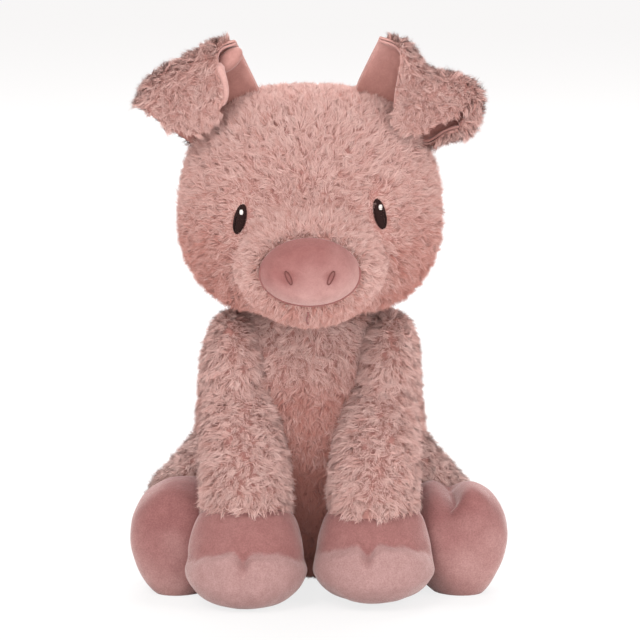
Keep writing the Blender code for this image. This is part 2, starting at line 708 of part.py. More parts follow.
def ear_sheet(name, side, offset, thickness, joint, colour):
    """One layer of an ear, offset to the outside or the inside of the ear's middle sheet."""
    middle, along, outward = ear_axis(side)
    forward = Vector((0, -1, 0))
    path = ear_path()
    bm = bmesh.new()
    rows = []
    for (rise, reach), width_share in zip(path, EAR_WIDTH_SHARES):
        width = EAR_ROOT_WIDTH + width_share * (EAR_WIDTH - EAR_ROOT_WIDTH)
        row = []
        for column in range(EAR_COLUMNS):
            share = 2 * column / (EAR_COLUMNS - 1) - 1
            droop = EAR_TAPER_SHARE * rise * share * share
            slide = EAR_FLAP_SLIDE * min(1, reach / (2 * EAR_BEND_RADIUS))
            place = (middle + along * (share * width / 2 + slide)
                     + outward * (rise - droop) + forward * reach)
            row.append(bm.verts.new(place))
        rows.append(row)
    for lower, upper in zip(rows, rows[1:]):
        for column in range(EAR_COLUMNS - 1):
            corners = [lower[column], lower[column + 1], upper[column + 1], upper[column]]
            bm.faces.new(corners if side > 0 else reversed(corners))
    bm.normal_update()
    for vertex, normal in [(vertex, vertex.normal.copy()) for vertex in bm.verts]:
        vertex.co += normal * offset
    sheet = new_object(name, mesh_from(name, bm), PIG)
    solid = sheet.modifiers.new("thickness", "SOLIDIFY")
    solid.thickness = thickness
    solid.offset = 1 if offset > 0 else -1
    solid.use_even_offset = True
    return finish_part(sheet, colour, FABRIC_ROUGHNESS, joint)


def make_ear(word, side, joint):
    half_gap = SEAM_GAP / 2
    ear_sheet(f"ear_outer_{word}", side, half_gap, EAR_PLUSH, joint, PLUSH_PINK)
    ear_sheet(f"ear_lining_{word}", side, -half_gap, EAR_LINING, joint, LINING_PINK)


def cut_beside_torso(obj, growth, inner=False):
    """Cut away what would reach into the torso or its neck, each grown by growth."""
    boolean(obj, torso_form.make(f"{obj.name}_torso", CUTTERS, growth, inner))
    boolean(obj, ball(f"{obj.name}_neck", neck_seat, growth))


def make_limb(kind, word, side, form, foot, seat, frame, ankle, joint):
    """A plush leg and a smooth foot over one filling, split at the ankle in their frame."""
    reach = OVERRUN + HIND_FOOT_HEIGHT
    label = f"{kind}_{word}"
    corner = Vector((reach, reach, reach))
    past_ankle = slab(f"{label}_past_ankle", (-reach, -reach, ankle - SEAM_GAP / 2),
                      corner, frame)
    before_ankle = slab(f"{label}_before_ankle", -corner,
                        (reach, reach, ankle + SEAM_GAP / 2), frame)
    leg_side, foot_side = past_ankle, before_ankle
    if kind == "front":
        leg_side, foot_side = before_ankle, past_ankle

    cavity = form.make(f"{label}_leg_cavity", CUTTERS, -PLUSH, inner=True)
    cut_beside_torso(cavity, PLUSH + TURNING_GAP, inner=True)
    boolean(cavity, ball(f"{label}_root_cavity", seat, -PLUSH, INNER_BALL_SEGMENTS),
            "UNION", "MANIFOLD")
    cover = form.make(f"{kind}_leg_cover_{word}", PIG)
    cut_beside_torso(cover, TURNING_GAP)
    boolean(cover, ball(f"{label}_root", seat), "UNION", "MANIFOLD")
    boolean(cover, leg_side)
    boolean(cover, cavity)
    finish_part(cover, PLUSH_PINK, FABRIC_ROUGHNESS, joint)

    foot_cavity = foot.make(f"{label}_foot_cavity", CUTTERS, -VELBOA, inner=True)
    cut_beside_torso(foot_cavity, VELBOA + TURNING_GAP, inner=True)
    foot_cover = foot.make(f"{kind}_foot_cover_{word}", PIG)
    boolean(foot_cover, floor)
    cut_beside_torso(foot_cover, TURNING_GAP)
    boolean(foot_cover, foot_side)
    boolean(foot_cover, foot_cavity)
    finish_part(foot_cover, VELBOA_ROSE, FABRIC_ROUGHNESS, joint)

    inset = PLUSH + FILLING_GAP
    filling = form.make(f"{kind}_leg_filling_{word}", PIG, -inset, inner=True)
    cut_beside_torso(filling, inset + TURNING_GAP, inner=True)
    boolean(filling, ball(f"{label}_root_filling", seat, -inset, INNER_BALL_SEGMENTS),
            "UNION", "MANIFOLD")
    boolean(filling, leg_side)
    toe = foot.make(f"{label}_foot_filling", CUTTERS, -VELBOA - FILLING_GAP, inner=True)
    cut_beside_torso(toe, VELBOA + FILLING_GAP + TURNING_GAP, inner=True)
    boolean(toe, foot_side)
    half = Vector((ANKLE_COLUMN, ANKLE_COLUMN, ANKLE_COLUMN)) / 2
    middle = Vector((side * ANKLE_COLUMN_OUTWARD, 0, ankle))
    column = slab(f"{label}_ankle_column", middle - half, middle + half, frame)
    cut_beside_torso(column, inset + TURNING_GAP, inner=True)
    boolean(filling, column, "UNION")
    boolean(filling, toe, "UNION")
    finish_part(filling, FIBRE_WHITE, FABRIC_ROUGHNESS, joint)


def make_tail(joint):
    """A curled tube that leaves the torso straight and then makes one loop."""
    start = tail_seat[0]
    curve = bpy.data.curves.new("tail", "CURVE")
    curve.dimensions = "3D"
    curve.bevel_depth = TAIL_THICKNESS / 2
    curve.bevel_resolution = 2
    curve.use_fill_caps = True
    spline = curve.splines.new("POLY")
    spline.points.add(TAIL_POINTS)
    spline.points[0].co = (*start, 1)
    for index in range(TAIL_POINTS):
        share = index / (TAIL_POINTS - 1)
        angle = math.tau * TAIL_TURNS * share
        place = start + Vector((
            TAIL_CURL_RADIUS * math.sin(angle),
            TAIL_STALK + TAIL_CURL_LENGTH * share,
            TAIL_CURL_RADIUS * (1 - math.cos(angle))))
        point = spline.points[index + 1]
        point.co = (*place, 1)
        point.radius = 1 + (TAIL_TIP_SHARE - 1) * share
    guide = new_object("tail_curve", curve, CUTTERS)
    bpy.context.view_layer.update()
    evaluated = guide.evaluated_get(bpy.context.evaluated_depsgraph_get())
    mesh = bpy.data.meshes.new_from_object(evaluated)
    bm = bmesh.new()
    bm.from_mesh(mesh)
    bmesh.ops.remove_doubles(bm, verts=bm.verts, dist=WELD_DISTANCE)
    tail = new_object("tail", mesh_from("tail", bm), PIG)
    bpy.data.objects.remove(guide)
    bpy.data.meshes.remove(mesh)
    boolean(tail, ball("tail_root", tail_seat, 0, INNER_BALL_SEGMENTS), "UNION")
    finish_part(tail, VELBOA_ROSE, FABRIC_ROUGHNESS, joint)


make_torso()
head_joint = joint_empty("head_joint", neck_seat[0])
make_head(head_joint)
make_muzzle(head_joint)
make_embroidery(head_joint)
for word, side in SIDES:
    make_ear(word, side, joint_empty(f"ear_joint_{word}", ear_axis(side)[0], head_joint))
    shoulder = shoulder_seat(side)
    make_limb("front", word, side, leg_form(side), foot_form(side), shoulder,
              Matrix.Translation((side * LEG_X, LEG_FOOT_Y, 0)), ANKLE_Z,
              joint_empty(f"shoulder_joint_{word}", shoulder[0]))
    hip = hip_seat(side)
    make_limb("hind", word, side, haunch_form(side), hind_foot_form(side), hip,
              hind_frame(side), HIND_ANKLE, joint_empty(f"hip_joint_{word}", hip[0]))
make_tail(joint_empty("tail_joint", tail_seat[0]))
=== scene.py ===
"""Looks for the seated plush pig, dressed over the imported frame.

Metres, in the frame of the solids: +Z up, the pig faces -Y, and left is -X.
Each stuffed piece is a cage of rings swelled to the box of its solid, then shaped
with dents and creases. The long pile is tufts of tapered ribbons on each form.
A place or size for both sides is that of the right side, and the left mirrors it.
A pair named fade runs from where something is absent to where it is complete.
"""
import math

import bmesh
import bpy
import numpy as np
from mathutils import Matrix, Vector, noise
from mathutils.bvhtree import BVHTree
from mathutils.kdtree import KDTree


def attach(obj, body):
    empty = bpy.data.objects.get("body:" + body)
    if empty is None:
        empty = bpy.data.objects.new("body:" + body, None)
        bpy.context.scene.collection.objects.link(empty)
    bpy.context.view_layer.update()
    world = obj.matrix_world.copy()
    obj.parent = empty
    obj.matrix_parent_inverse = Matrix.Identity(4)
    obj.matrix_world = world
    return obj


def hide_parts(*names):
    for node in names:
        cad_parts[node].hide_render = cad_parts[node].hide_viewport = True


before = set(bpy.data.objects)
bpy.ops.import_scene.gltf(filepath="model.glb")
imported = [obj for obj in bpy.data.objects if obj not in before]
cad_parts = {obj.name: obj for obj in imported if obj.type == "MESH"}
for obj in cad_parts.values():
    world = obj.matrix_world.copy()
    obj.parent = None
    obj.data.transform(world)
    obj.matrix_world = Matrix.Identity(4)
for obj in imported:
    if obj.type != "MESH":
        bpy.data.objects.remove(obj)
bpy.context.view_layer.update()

# Sizes that the solids share with the looks
HEAD_SIZE = (0.122, 0.100, 0.105)
HEAD_PLACE = (0, -0.040, 0.128)
MUZZLE_SIZE = (0.068, 0.058, 0.058)
MUZZLE_PLACE = (0, -0.055, 0.1575)
SNOUT_SIZE = (0.0455, 0.031, 0.012)
SNOUT_PLACE = (0, -0.106, 0.1575)
TORSO_LOW = (-0.055, -0.060, -0.0005)
TORSO_HIGH = (0.055, 0.050, 0.128)
NECK_PLACE = (0, -0.021, 0.113)
NECK_RADIUS = 0.036
SHOULDER_PLACE = (0.0345, -0.041, 0.101)
SHOULDER_HALF_WIDTH = 0.0170
SHOULDER_RADIUS = 0.0235
LEG_X = 0.0290
LEG_Y = -0.070
LEG_WIDTH = 0.045
LEG_DEPTH = 0.046
LEG_LOW_Z = 0.029
LEG_HIGH_Z = 0.111
LEG_BACK_REACH = 0.047
ANKLE_Z = 0.037
FOOT_Y = -0.0785
FOOT_SIZE = (0.0545, 0.052, 0.0475)
HIP_PLACE = (0.0470, 0.006, 0.0365)
HAUNCH_TURN = math.radians(19)
HAUNCH_ROLL = math.radians(13)
HAUNCH_WIDTH = 0.047
HAUNCH_HEIGHT = 0.068
HAUNCH_BEHIND = 0.014
HAUNCH_AHEAD = 0.060
HIND_ANKLE = 0.028
HIND_FOOT_SIZE = (0.046, 0.0535, 0.048)
HIND_FOOT_START = 0.022
HIND_FOOT_SHIFT = (0.0040, -0.0035, 0)
FLOOR_PRESS = 0.0005
EAR_TURN = math.radians(44)
EAR_ROOT = (0.042132, -0.040, 0.22413)
TAIL_PLACE = (0, 0.050, 0.044)

# How far the base fabric lies under the outside of the solid, which the pile fills
PILE_DEPTH = 0.0038
MUZZLE_PILE_DEPTH = 0.0024

HEAD_RINGS = (
    (0.00, 0.48, 0.50, 0.00),
    (0.06, 0.76, 0.76, 0.00),
    (0.25, 0.98, 0.97, -0.01),
    (0.46, 1.02, 1.00, 0.00),
    (0.72, 0.95, 0.93, 0.02),
    (0.94, 0.68, 0.66, 0.05),
    (1.00, 0.36, 0.36, 0.06),
)
MUZZLE_RINGS = (
    (0.00, 0.90, 0.90, 0.16),
    (0.45, 1.00, 1.00, 0.10),
    (0.84, 0.86, 0.78, 0.00),
    (1.00, 0.56, 0.50, -0.02),
)
SNOUT_RINGS = (
    (0.00, 0.92, 0.92, 0.00),
    (0.40, 1.00, 1.00, 0.00),
    (0.86, 0.98, 0.98, 0.00),
    (1.00, 0.80, 0.76, 0.00),
)
TORSO_RINGS = (
    (0.00, 0.60, 0.60, 0.10),
    (0.07, 0.84, 0.84, 0.10),
    (0.28, 1.00, 1.00, 0.08),
    (0.52, 0.97, 0.96, -0.02),
    (0.74, 0.93, 0.84, -0.14),
    (0.92, 0.84, 0.66, -0.26),
    (1.00, 0.58, 0.40, -0.32),
)
LEG_RINGS = (
    (0.00, 0.96, 0.96, 0.00),
    (0.22, 1.02, 1.00, 0.04),
    (0.52, 0.96, 0.94, 0.42),
    (0.84, 0.76, 0.84, 1.10),
    (1.00, 0.44, 0.52, 1.26),
)
LEG_SPREAD = (0.00, 0.00, 0.06, 0.18, 0.22)
FOOT_RINGS = (
    (0.00, 0.78, 0.76, 0.00),
    (0.14, 0.98, 0.98, -0.04),
    (0.42, 1.02, 1.00, -0.04),
    (0.76, 0.88, 0.80, 0.12),
    (1.00, 0.66, 0.58, 0.20),
)
HAUNCH_RINGS = (
    (0.00, 0.60, 0.62, 0.00),
    (0.16, 0.92, 0.94, 0.00),
    (0.42, 1.02, 1.02, 0.00),
    (0.74, 0.94, 0.86, -0.14),
    (1.00, 0.86, 0.72, -0.22),
)
HIND_FOOT_RINGS = (
    (0.00, 0.70, 0.72, 0.00),
    (0.20, 0.96, 0.96, 0.00),
    (0.52, 1.02, 1.02, 0.00),
    (0.86, 0.88, 0.90, 0.00),
    (1.00, 0.58, 0.62, 0.00),
)

# Stitched features
EYE_SIZE = (0.0054, 0.0138)
EYE_X = 0.0313
EYE_HEIGHTS = {"left": 0.1768, "right": 0.1790}
EYE_LEAN = math.radians(13)
EYE_THREADS = 30
THREAD_RADIUS = 0.00030
HIGHLIGHT_SIZE = (0.0014, 0.0020)
HIGHLIGHT_THREADS = 5
NOSTRIL_X = 0.0095
NOSTRIL_Z = 0.1557
NOSTRIL_SIZE = (0.0020, 0.0066)
NOSTRIL_LEAN = math.radians(24)

SIDES = (("left", -1), ("right", 1))
FACING_FRONT = Matrix.Rotation(math.radians(90), 4, "X")
BAKE_MAP = "OFBake"
# The map of nap and of painted light and shade that velboa reads
NAP_AND_PAINTED_LIGHT_MAP = "nap_and_painted_light"
PILE_NORMAL_MAP = "pile_normal"
FLAT_SHARE = 0.45

# Form of the head: heights of its swellings and dents, their places and their radii
EYE_Y = -0.083
BROW_RISE = 0.0022
BROW_RADII = (0.006, 0.02, 0.010)
SOCKET_DENT = 0.0016
SOCKET_FROM_EYE = (0.009, 0, -0.006)
SOCKET_RADII = (0.006, 0.02, 0.008)
CHEEK_RISE = 0.0014
CHEEK_PLACE = (0.046, -0.07, 0.155)
CHEEK_RADII = (0.018, 0.03, 0.016)
HEAD_VOXEL = 0.0016
HEAD_SMOOTHING = 14

# Pile of the head
MUZZLE_FADE_Y = (-0.070, -0.088)
MUZZLE_FACE_Z = 0.160
MUZZLE_FACE_HALVES = (0.040, 0.034)
MUZZLE_SPREAD_FADE = (1.1, 0.8)
FACE_START_Y = -0.05
SNOUT_BACK_Y = -0.100
SNOUT_BARE_SHARE = 0.97
EYE_BARE_SHARE = 0.98
NECK_BARE_Y = -0.03
NECK_BARE_Z = 0.131
NECK_BARE_RADIUS = 0.019
FACE_COMB_CENTRE = (0, -0.118, 0.160)
FACE_COMB_LAY = (0, 0.2, -0.35)
FACE_COMB_MUZZLE = 1.2
EYE_COMB_FLATTENING = 0.45
EYE_COMB_RADIUS = 0.0060
EYE_COMB_PUSH = 3.0
EYE_CLEAR_FADE = (1.0, 3.6)
CROWN_SHORT_FADE_Z = (0.205, 0.228)
EYE_PILE_LENGTH = 0.0020
FACE_PILE_GAIN = 0.0028
MUZZLE_PILE_LOSS = 0.22
CROWN_PILE_LOSS = 0.20
CHEEK_FADE_X = (0.02, 0.05)
CHEEK_FADE_Z = (0.19, 0.15)
CROWN_FADE_Z = (0.16, 0.225)
CHIN_FADE_Z = (0.150, 0.138)
# Painted light paler on the crown, painted shade darker on the cheeks and under the chin
FACE_SHADE = 0.40
CROWN_PAINTED_LIGHT = 0.08
CHEEK_PAINTED_SHADE = 0.24
MUZZLE_SHADE = 0.03
CHIN_PAINTED_SHADE = 0.14
RIM_AIM_Y = -0.125
RIM_BACK_Y = -0.095
RIM_BAND = (0.93, 1.16)
RIM_FADE_Z = (-0.006, 0.006)
RIM_LOW_SHARE = 0.35
RIM_PILE_LENGTH = 0.0030
RIM_SHADE = 0.52
RIM_LEAN = math.radians(24)
RIM_SWIRL = 0.6

# Snout, nostrils, mouth and eyes
SNOUT_FADE_Y = (-0.110, -0.117)
SNOUT_LEVELS = 4
SNOUT_TAPER = 0.05
SNOUT_EDGE_FALL = 0.0030
SNOUT_EDGE_FADE = (0.55, 1.0)
SNOUT_DISH = 0.0008
SNOUT_PALE_ACROSS = 0.40
SNOUT_PALE_UP = 0.90
SNOUT_PALE_FADE = (-0.9, 1.3)
SNOUT_PALE_PATCH = 0.16
SNOUT_PATCH_SIZE = 0.008
NOSTRIL_DENT = 0.0013
NOSTRIL_DENT_RADIUS = 0.0032
# Painted shade in the nostrils: depths and radii
NOSTRIL_PAINTED_SHADES = ((0.55, 0.0026), (0.14, 0.0085))
NOSTRIL_STEPS = 28
NOSTRIL_LIFT = 0.00012
NOSTRIL_THREAD_RADIUS = 0.00032
MOUTH_X = -0.0010
MOUTH_TOP_Z = 0.1405
MOUTH_LENGTH = 0.0055
MOUTH_WAVE = 0.0004
MOUTH_STEPS = 8
MOUTH_LIFT = 0.0030
MOUTH_THREAD_RADIUS = 0.00050
SEAM_START_DEGREES = -190
SEAM_SWEEP_DEGREES = 200
SEAM_STEPS = 48
SEAM_SHARE = 0.985
SEAM_LIFT = 0.0001
SEAM_THREAD_RADIUS = 0.00040
STITCH_STEPS = 8
LEAST_STITCH = 0.02
EYE_PADDING = 0.0011
EYE_LIFT = 0.0004
HIGHLIGHT_INWARD = 0.0006
HIGHLIGHT_ASIDE = 0.0004
HIGHLIGHT_RISE = 0.0030
HIGHLIGHT_PADDING = 0.0004
HIGHLIGHT_LIFT = 0.0017

# Form of the torso, legs and haunches
SHOULDER_CAP_PLACE = (0.038, -0.040, 0.122)
SHOULDER_CAP_RADII = (0.014, 0.026, 0.014)
SHOULDER_CAP_RISE = 0.0070
SHOULDER_CAP_SPREAD = 0.0012
LAP_DENT = 0.013
LAP_PLACE = (0, -0.058, 0.030)
LAP_RADII = (0.017, 0.020, 0.034)
TORSO_VOXEL = 0.0020
TORSO_SMOOTHING = 10
LIMB_VOXEL = 0.0018
LIMB_SEGMENTS = 10
LEG_SMOOTHING = 12
HAUNCH_SMOOTHING = 8
HAUNCH_EASE = 0.006
HAUNCH_SHORTENING = 0.55
HAUNCH_LEAST_NARROWING = 0.02
HAUNCH_TOP_FADE = (-0.002, 0.034)
HAUNCH_OUTER_FADE = (-0.012, 0.022)
HAUNCH_TOP_RISE = 0.0085
HAUNCH_OUTER_FALL = 0.0180
HAUNCH_TOP_INWARD = 0.0040

# Front feet: a toe under a wavy crease, paler where the nap turns and with painted sheen, with a
# dimple under the cleft darkened by painted shade
CREASE_HEIGHTS = {"left": 0.0276, "right": 0.0302}
CLEFT_PLACES = {"left": -0.0012, "right": -0.0030}
TOE_LIFTS = {"left": 0, "right": 0.0024}
FOOT_SETBACKS = {"left": 0, "right": 0.0025}
FOOT_LEVELS = 5
FOOT_FADE_Y = (0.010, -0.010)
EDGE_POWER = 2.4
CREASE_EDGE_DROP = 0.0080
CLEFT_DROP = 0.0036
CLEFT_RADIUS = 0.0030
CREASE_WAVE = 0.0011
CREASE_WAVE_SIZE = 0.0075
TOE_START = 0.0006
TOE_FULL = 0.0045
TOE_FADE_Z = (0, 0.012)
TOE_PUFF = 0.0022
TOE_EDGE_LOSS = 0.7
CREASE_DENT = 0.0010
CREASE_DENT_RISE = 0.0014
CREASE_DENT_RADIUS = 0.0020
DIMPLE_BELOW = 0.0060
DIMPLE_RADII = (0.0026, 0.0042)
DIMPLE_DENT = 0.0024
FOOT_UNEVENNESS = 0.0005
FOOT_UNEVENNESS_SIZE = 0.010
SOLE_FADE_Z = (0.020, 0)
SOLE_EDGE_RISE = 0.0064
TOE_PALE_FADE = (0.0010, -0.0010)
TOE_PALE_FRAY = 0.0006
TOE_PALE_FRAY_SIZE = 0.0012
TOE_PALE_BEHIND = 0.35
# Painted sheen on the edges and painted shade in the dimple
FOOT_EDGE_FADE = (0.7, 1.0)
FOOT_EDGE_PAINTED_SHEEN = 0.30
FOOT_PATCH = 0.14
FOOT_PATCH_SIZE = 0.011
DIMPLE_PAINTED_SHADE = 0.40

# Hind feet: dents in the frame of the haunch, and a notch, placed in the world, that only
# the right one has
ANKLE_DENT = 0.0024
ANKLE_DENT_PLACE = (0.004, 0.016, 0.038)
ANKLE_DENT_RADII = (0.010, 0.010, 0.009)
HIND_UNEVENNESS = 0.0007
HIND_UNEVENNESS_SIZE = 0.011
NOTCH_DENT = 0.0105
NOTCH_PLACE = (0.0595, -0.046, 0.048)
NOTCH_RADII = (0.0062, 0.030, 0.014)
HIND_SOLE_FALL = 0.0050
HIND_SOLE_AHEAD = 0.058
HIND_SOLE_RADII = (0.022, 0.014, 0.020)
# Painted sheen on the lower and outer parts of the hind feet
HIND_LOW_FADE_Z = (0.042, 0.006)
HIND_LOW_PAINTED_SHEEN = 0.70
HIND_OUTER_FADE = (0.1, 1.0)
HIND_OUTER_PAINTED_SHEEN = 0.45
HIND_SIDE_PALE = 0.05
HIND_PATCH = 0.50
HIND_PATCH_SIZE = 0.014

# Pile of the torso, legs and haunches
BODY_PILE_LENGTH = 0.0040
FLOOR_PILE_LENGTH = 0.0006
FLOOR_PILE_FADE_Z = (-0.002, 0.010)
DOWN_COMB_UPS = 0.25
TORSO_NECK_Y = -0.021
TORSO_NECK_Z = 0.137
TORSO_NECK_RADIUS = 0.017
TORSO_BARE_Z = 0.0045
CHEST_FADE_Y = (-0.010, -0.040)
BETWEEN_FADE_Z = (0.075, 0.045)
BETWEEN_FADE_X = (0.026, 0.014)
CHEST_HIGH_FADE_Z = (0.085, 0.115)
# Painted shade on the chest and down between the legs, eased by painted light at the top of the
# chest
TORSO_SHADE = 0.50
CHEST_PAINTED_SHADE = 0.32
BETWEEN_LEGS_PAINTED_SHADE = 0.28
CHEST_TOP_PAINTED_LIGHT = 0.34
ANKLE_BARE = 0.0015
LEG_SHADE = 0.52
HAUNCH_BARE_Z = 0.006
# The haunches are painted paler than the legs, as painted light where they sit in shade
HAUNCH_PAINTED_LIGHT_TONE = 0.70
HAUNCH_COMB_AHEAD = 0.8
HAUNCH_COMB_DOWN = 0.6

# Ears: an inner value comes before an outer one
EAR_ROOT_HALVES = {"left": (0.0125, 0.0200), "right": (0.0150, 0.0175)}
EAR_HALVES = {"left": (0.0276, 0.0256), "right": (0.0304, 0.0425)}
EAR_ROOT_SINK = 0.003
# How far the ends of a root follow the head down, inner and outer, and how soon it widens
EAR_ROOT_SAGS = (0.011, 0.005)
EAR_GROWTHS = {"left": (0.0155, 0.016), "right": (0.0155, 0.0115)}
EAR_GROWTH_POWER = 0.72
EAR_BEND_RADIUS = 0.0080
EAR_FLARE = math.radians(12)
EAR_PUFF = 0.0030
# Along an ear from its inner to its outer end: the place as a share of its half width, how
# far it rises there, and the length that turns over from there to its free edge
EAR_OUTLINES = {
    "left": ((-1.00, 0.0080, 0.0065), (-0.88, 0.0095, 0.0120), (-0.75, 0.0120, 0.0190),
             (-0.67, 0.0126, 0.0260), (-0.56, 0.0132, 0.0326), (-0.40, 0.0137, 0.0371),
             (-0.18, 0.0153, 0.0412), (0.10, 0.0172, 0.0442), (0.40, 0.0195, 0.0482),
             (0.70, 0.0195, 0.0470), (0.84, 0.0185, 0.0400), (1.00, 0.0155, 0.0300)),
    "right": ((-1.00, 0.0075, 0.0070), (-0.88, 0.0085, 0.0110), (-0.73, 0.0118, 0.0170),
              (-0.54, 0.0118, 0.0250), (-0.33, 0.0095, 0.0310), (-0.08, 0.0088, 0.0380),
              (0.10, 0.0118, 0.0440), (0.22, 0.0165, 0.0500), (0.36, 0.0192, 0.0490),
              (0.46, 0.0192, 0.0300), (0.54, 0.0188, 0.0150), (0.70, 0.0150, 0.0120),
              (0.85, 0.0100, 0.0100), (1.00, 0.0060, 0.0060)),
}
EAR_ROWS = 72
EAR_COLUMNS = 56
EAR_LAYER = 0.0011
# The rolled lining in the mouth of the left ear's fold: along the ear, ahead and up
ROLL_PLACE = (-0.0186, 0.0096, 0.0112)
HEM_RADII = {"left": 0.0024, "right": 0.0007}
HEM_SHARE = 0.45
BACK_EDGES_BARE = {"left": 0.0034, "right": 0.0040}
# How far each end of an ear curls towards the front: inner end, outer end
EAR_CURLS = {"left": (math.radians(22), math.radians(8)),
             "right": (math.radians(20), math.radians(122))}
# Where along an ear its outer end starts to curl
EAR_CURL_STARTS = {"left": 0.05, "right": 0.45}
EAR_INNER_CURL_START = 0.1
# How much of that curl the root already has
EAR_ROOT_CURLS = {"left": 0, "right": 0.6}
EAR_LAYER_GAP = 0.0002
EAR_CORNER_SOFTENING = 4
EAR_PUFF_RUN = 0.026
EAR_ROOT_GROWN = 0.9
EAR_WAVE = 0.0010
EAR_WAVE_ACROSS = 3.1
EAR_WAVE_ALONG = 5
HEM_START = 8
HEM_SIDES = 12
HEM_TIP = 0.4
HEM_BARE_SHARE = 1.1
EAR_PILE_LENGTH = 0.0044
EAR_PILE_SHADE = 0.44
EAR_PILE_SPACING = 0.0015
EAR_COMB_FADE_Y = (-0.004, -0.012)
EAR_COMB_LAY = (0.25, -0.2, -0.35)
# Painted light and shade: how pale the lining turns at its free edge, and how pale the rolled
# lining is
LINING_EDGE_PAINTED_LIGHT = 1.2
ROLL_RADII = (0.0074, 0.0042, 0.0042)
ROLL_PAINTED_LIGHT = 0.65

# Tail
TAIL_RADIUS = 0.0032
TAIL_ROUNDNESS = 6
TAIL_STEPS = 90
TAIL_SINK = 0.006
TAIL_STALK = 0.008
TAIL_CURL_RADIUS = 0.0080
TAIL_CURL_LENGTH = 0.011
TAIL_TURNS = 1.15
TAIL_TIP_SHARE = 0.45

# Floor, light and camera: each lamp has its place, aim, size and power
FLOOR_HALF = 6
FLOOR_VALUE = 0.90
FLOOR_GLOW_SHARE = 0.80
WORLD_STRENGTH = 0.74
WORLD_TINT = (1, 0.90, 0.87, 1)
LAMP_AIM = (0, -0.03, 0.12)
LAMPS = (
    ("key", (-0.55, -1.10, 1.15), LAMP_AIM, 0.9, 8.5),
    ("fill", (0.95, -1.00, 0.70), LAMP_AIM, 1.0, 5),
    ("front", (0.10, -1.70, 0.22), LAMP_AIM, 0.9, 10),
    ("back", (0.10, 1.00, 1.10), (0, -0.02, 0.14), 1.3, 24),
)
PIXEL = 0.000456
FRAME_PIXELS = 640
CAMERA_RISE = math.radians(9)
CAMERA_DISTANCE = 4.0
AIM = (0.00456, -0.040, 0.1244)
SENSOR = 36

# Fabric: roughness, sheen, scales of the noises, depths of the grains and ramps of shades
WHITE = (1, 1, 1, 1)
FABRIC_SPECULAR = 0.25
THREAD_SPECULAR = 0.3
PILE_ROUGHNESS = 0.90
# Painted shade: the pile darkens from its tips down to its roots
PILE_ROOT_PAINTED_SHADE = ((0, (0.64, 0.47, 0.44, 1)), (0.45, (0.92, 0.86, 0.84, 1)), (1, WHITE))
BASE_ROUGHNESS = 0.95
BASE_DEEP = 0.7
BASE_PATCH_SCALE = 180
BASE_GRAIN_SCALE = 1400
BASE_GRAIN_DEPTH = 0.0004
VELBOA_PATCH_SCALE = 95
VELBOA_PATCH_DEPTH = 0.0006
VELBOA_BRUSH_SCALE = 240
VELBOA_SPECKLE_SCALE = 1500
VELBOA_GRAIN_SCALE = 1700
VELBOA_GRAIN_DEPTH = 0.00024
VELBOA_ROUGHNESS = 0.80
VELBOA_SHEEN = (0.55, 0.35, (1, 0.88, 0.86, 1))
BRUSHED_SHADES = ((0.30, (0.90, 0.87, 0.87, 1)), (0.70, (1.05, 1.06, 1.06, 1)))
THREAD_STRAND_SCALE = 2600
THREAD_STRAND_DEPTH = 0.00008
THREAD_DEEP = 0.75

# Tufts of pile: how ribbons are cut, planted, leant, curled and shaded
RIBBON_SHARES = (0.0, 0.52)
RIBBON_WIDTHS = (1.0, 0.80)
RIBBON_CORNERS = np.array(((0, 1, 3), (0, 3, 2), (2, 3, 4)))
RIBBON_POINTS = 5
PIECE_RIBBONS = 60000
ROOT_DEPTH = 0.0006
CROWDING = 4
LEAST_GAP_SHARE = 0.80
AVOID_REACH = 0.02
AVOID_GAP = 0.0003
COMB_SPREAD = 0.35
LENGTH_SHARES = (0.80, 1.18)
LEAN_SPREAD = math.radians(9)
CURL_SPREAD = 0.30
HOOK_SPREAD = 0.34
TUFT_PATCH = 0.12
TUFT_PATCH_SIZE = 0.005
TUFT_SHADE_SPREAD = 0.07
TIP_GATHERING = 0.55
TIP_SPREAD = 0.12
RISE_UP = 0.50
RISE_ALONG = 0.12
RISE_SPREAD = 0.10
FACING_SPREAD = 0.70
WIDTH_SHARES = (0.7, 1.25)
SOFT_OUTWARD = 0.45
SOFT_ALONG = 0.20
RIBBON_SHADE_SPREAD = 0.10
RIBBON_SHADE_LIMITS = (0.03, 0.97)
CHART_MARGIN = 0.01
LEAST_NORM = 1e-9
PILE_SPACING = 0.0016
PILE_LEAN = math.radians(46)
PILE_SWIRL = 1.25
SWIRL_SIZE = 0.0048
SWIRL_SEED = 7
STRANDS = 16
RIBBON_WIDTH = 0.00034
TUFT_SPREAD = 0.95
SEEDS = {"head": 11, "rim": 12, "torso": 21, "front_leg": 31, "hind_leg": 41, "ear": 51}


def colour(red, green, blue):
    """A colour as seen on screen, 0 to 255, as the linear values that materials take."""
    channels = []
    for value in (red, green, blue):
        share = value / 255
        channels.append(share / 12.92 if share <= 0.04045 else ((share + 0.055) / 1.055) ** 2.4)
    return (*channels, 1)


# Meshes

def link(name, mesh):
    obj = bpy.data.objects.new(name, mesh)
    bpy.context.scene.collection.objects.link(obj)
    return obj


def evaluated_mesh(obj):
    bpy.context.view_layer.update()
    evaluated = obj.evaluated_get(bpy.context.evaluated_depsgraph_get())
    return bpy.data.meshes.new_from_object(evaluated)


def apply_modifiers(obj):
    mesh = evaluated_mesh(obj)
    old = obj.data
    obj.modifiers.clear()
    obj.data = mesh
    bpy.data.meshes.remove(old)
    mesh.shade_smooth()
    return obj


def read_vectors(obj, kind):
    values = np.empty(len(obj.data.vertices) * 3, np.float32)
    obj.data.vertices.foreach_get(kind, values)
    return values.reshape(-1, 3).astype(float)


def get_points(obj):
    return read_vectors(obj, "co")


def get_normals(obj):
    return read_vectors(obj, "normal")


def set_points(obj, points):
    obj.data.vertices.foreach_set("co", points.astype(np.float32).ravel())
    obj.data.update()


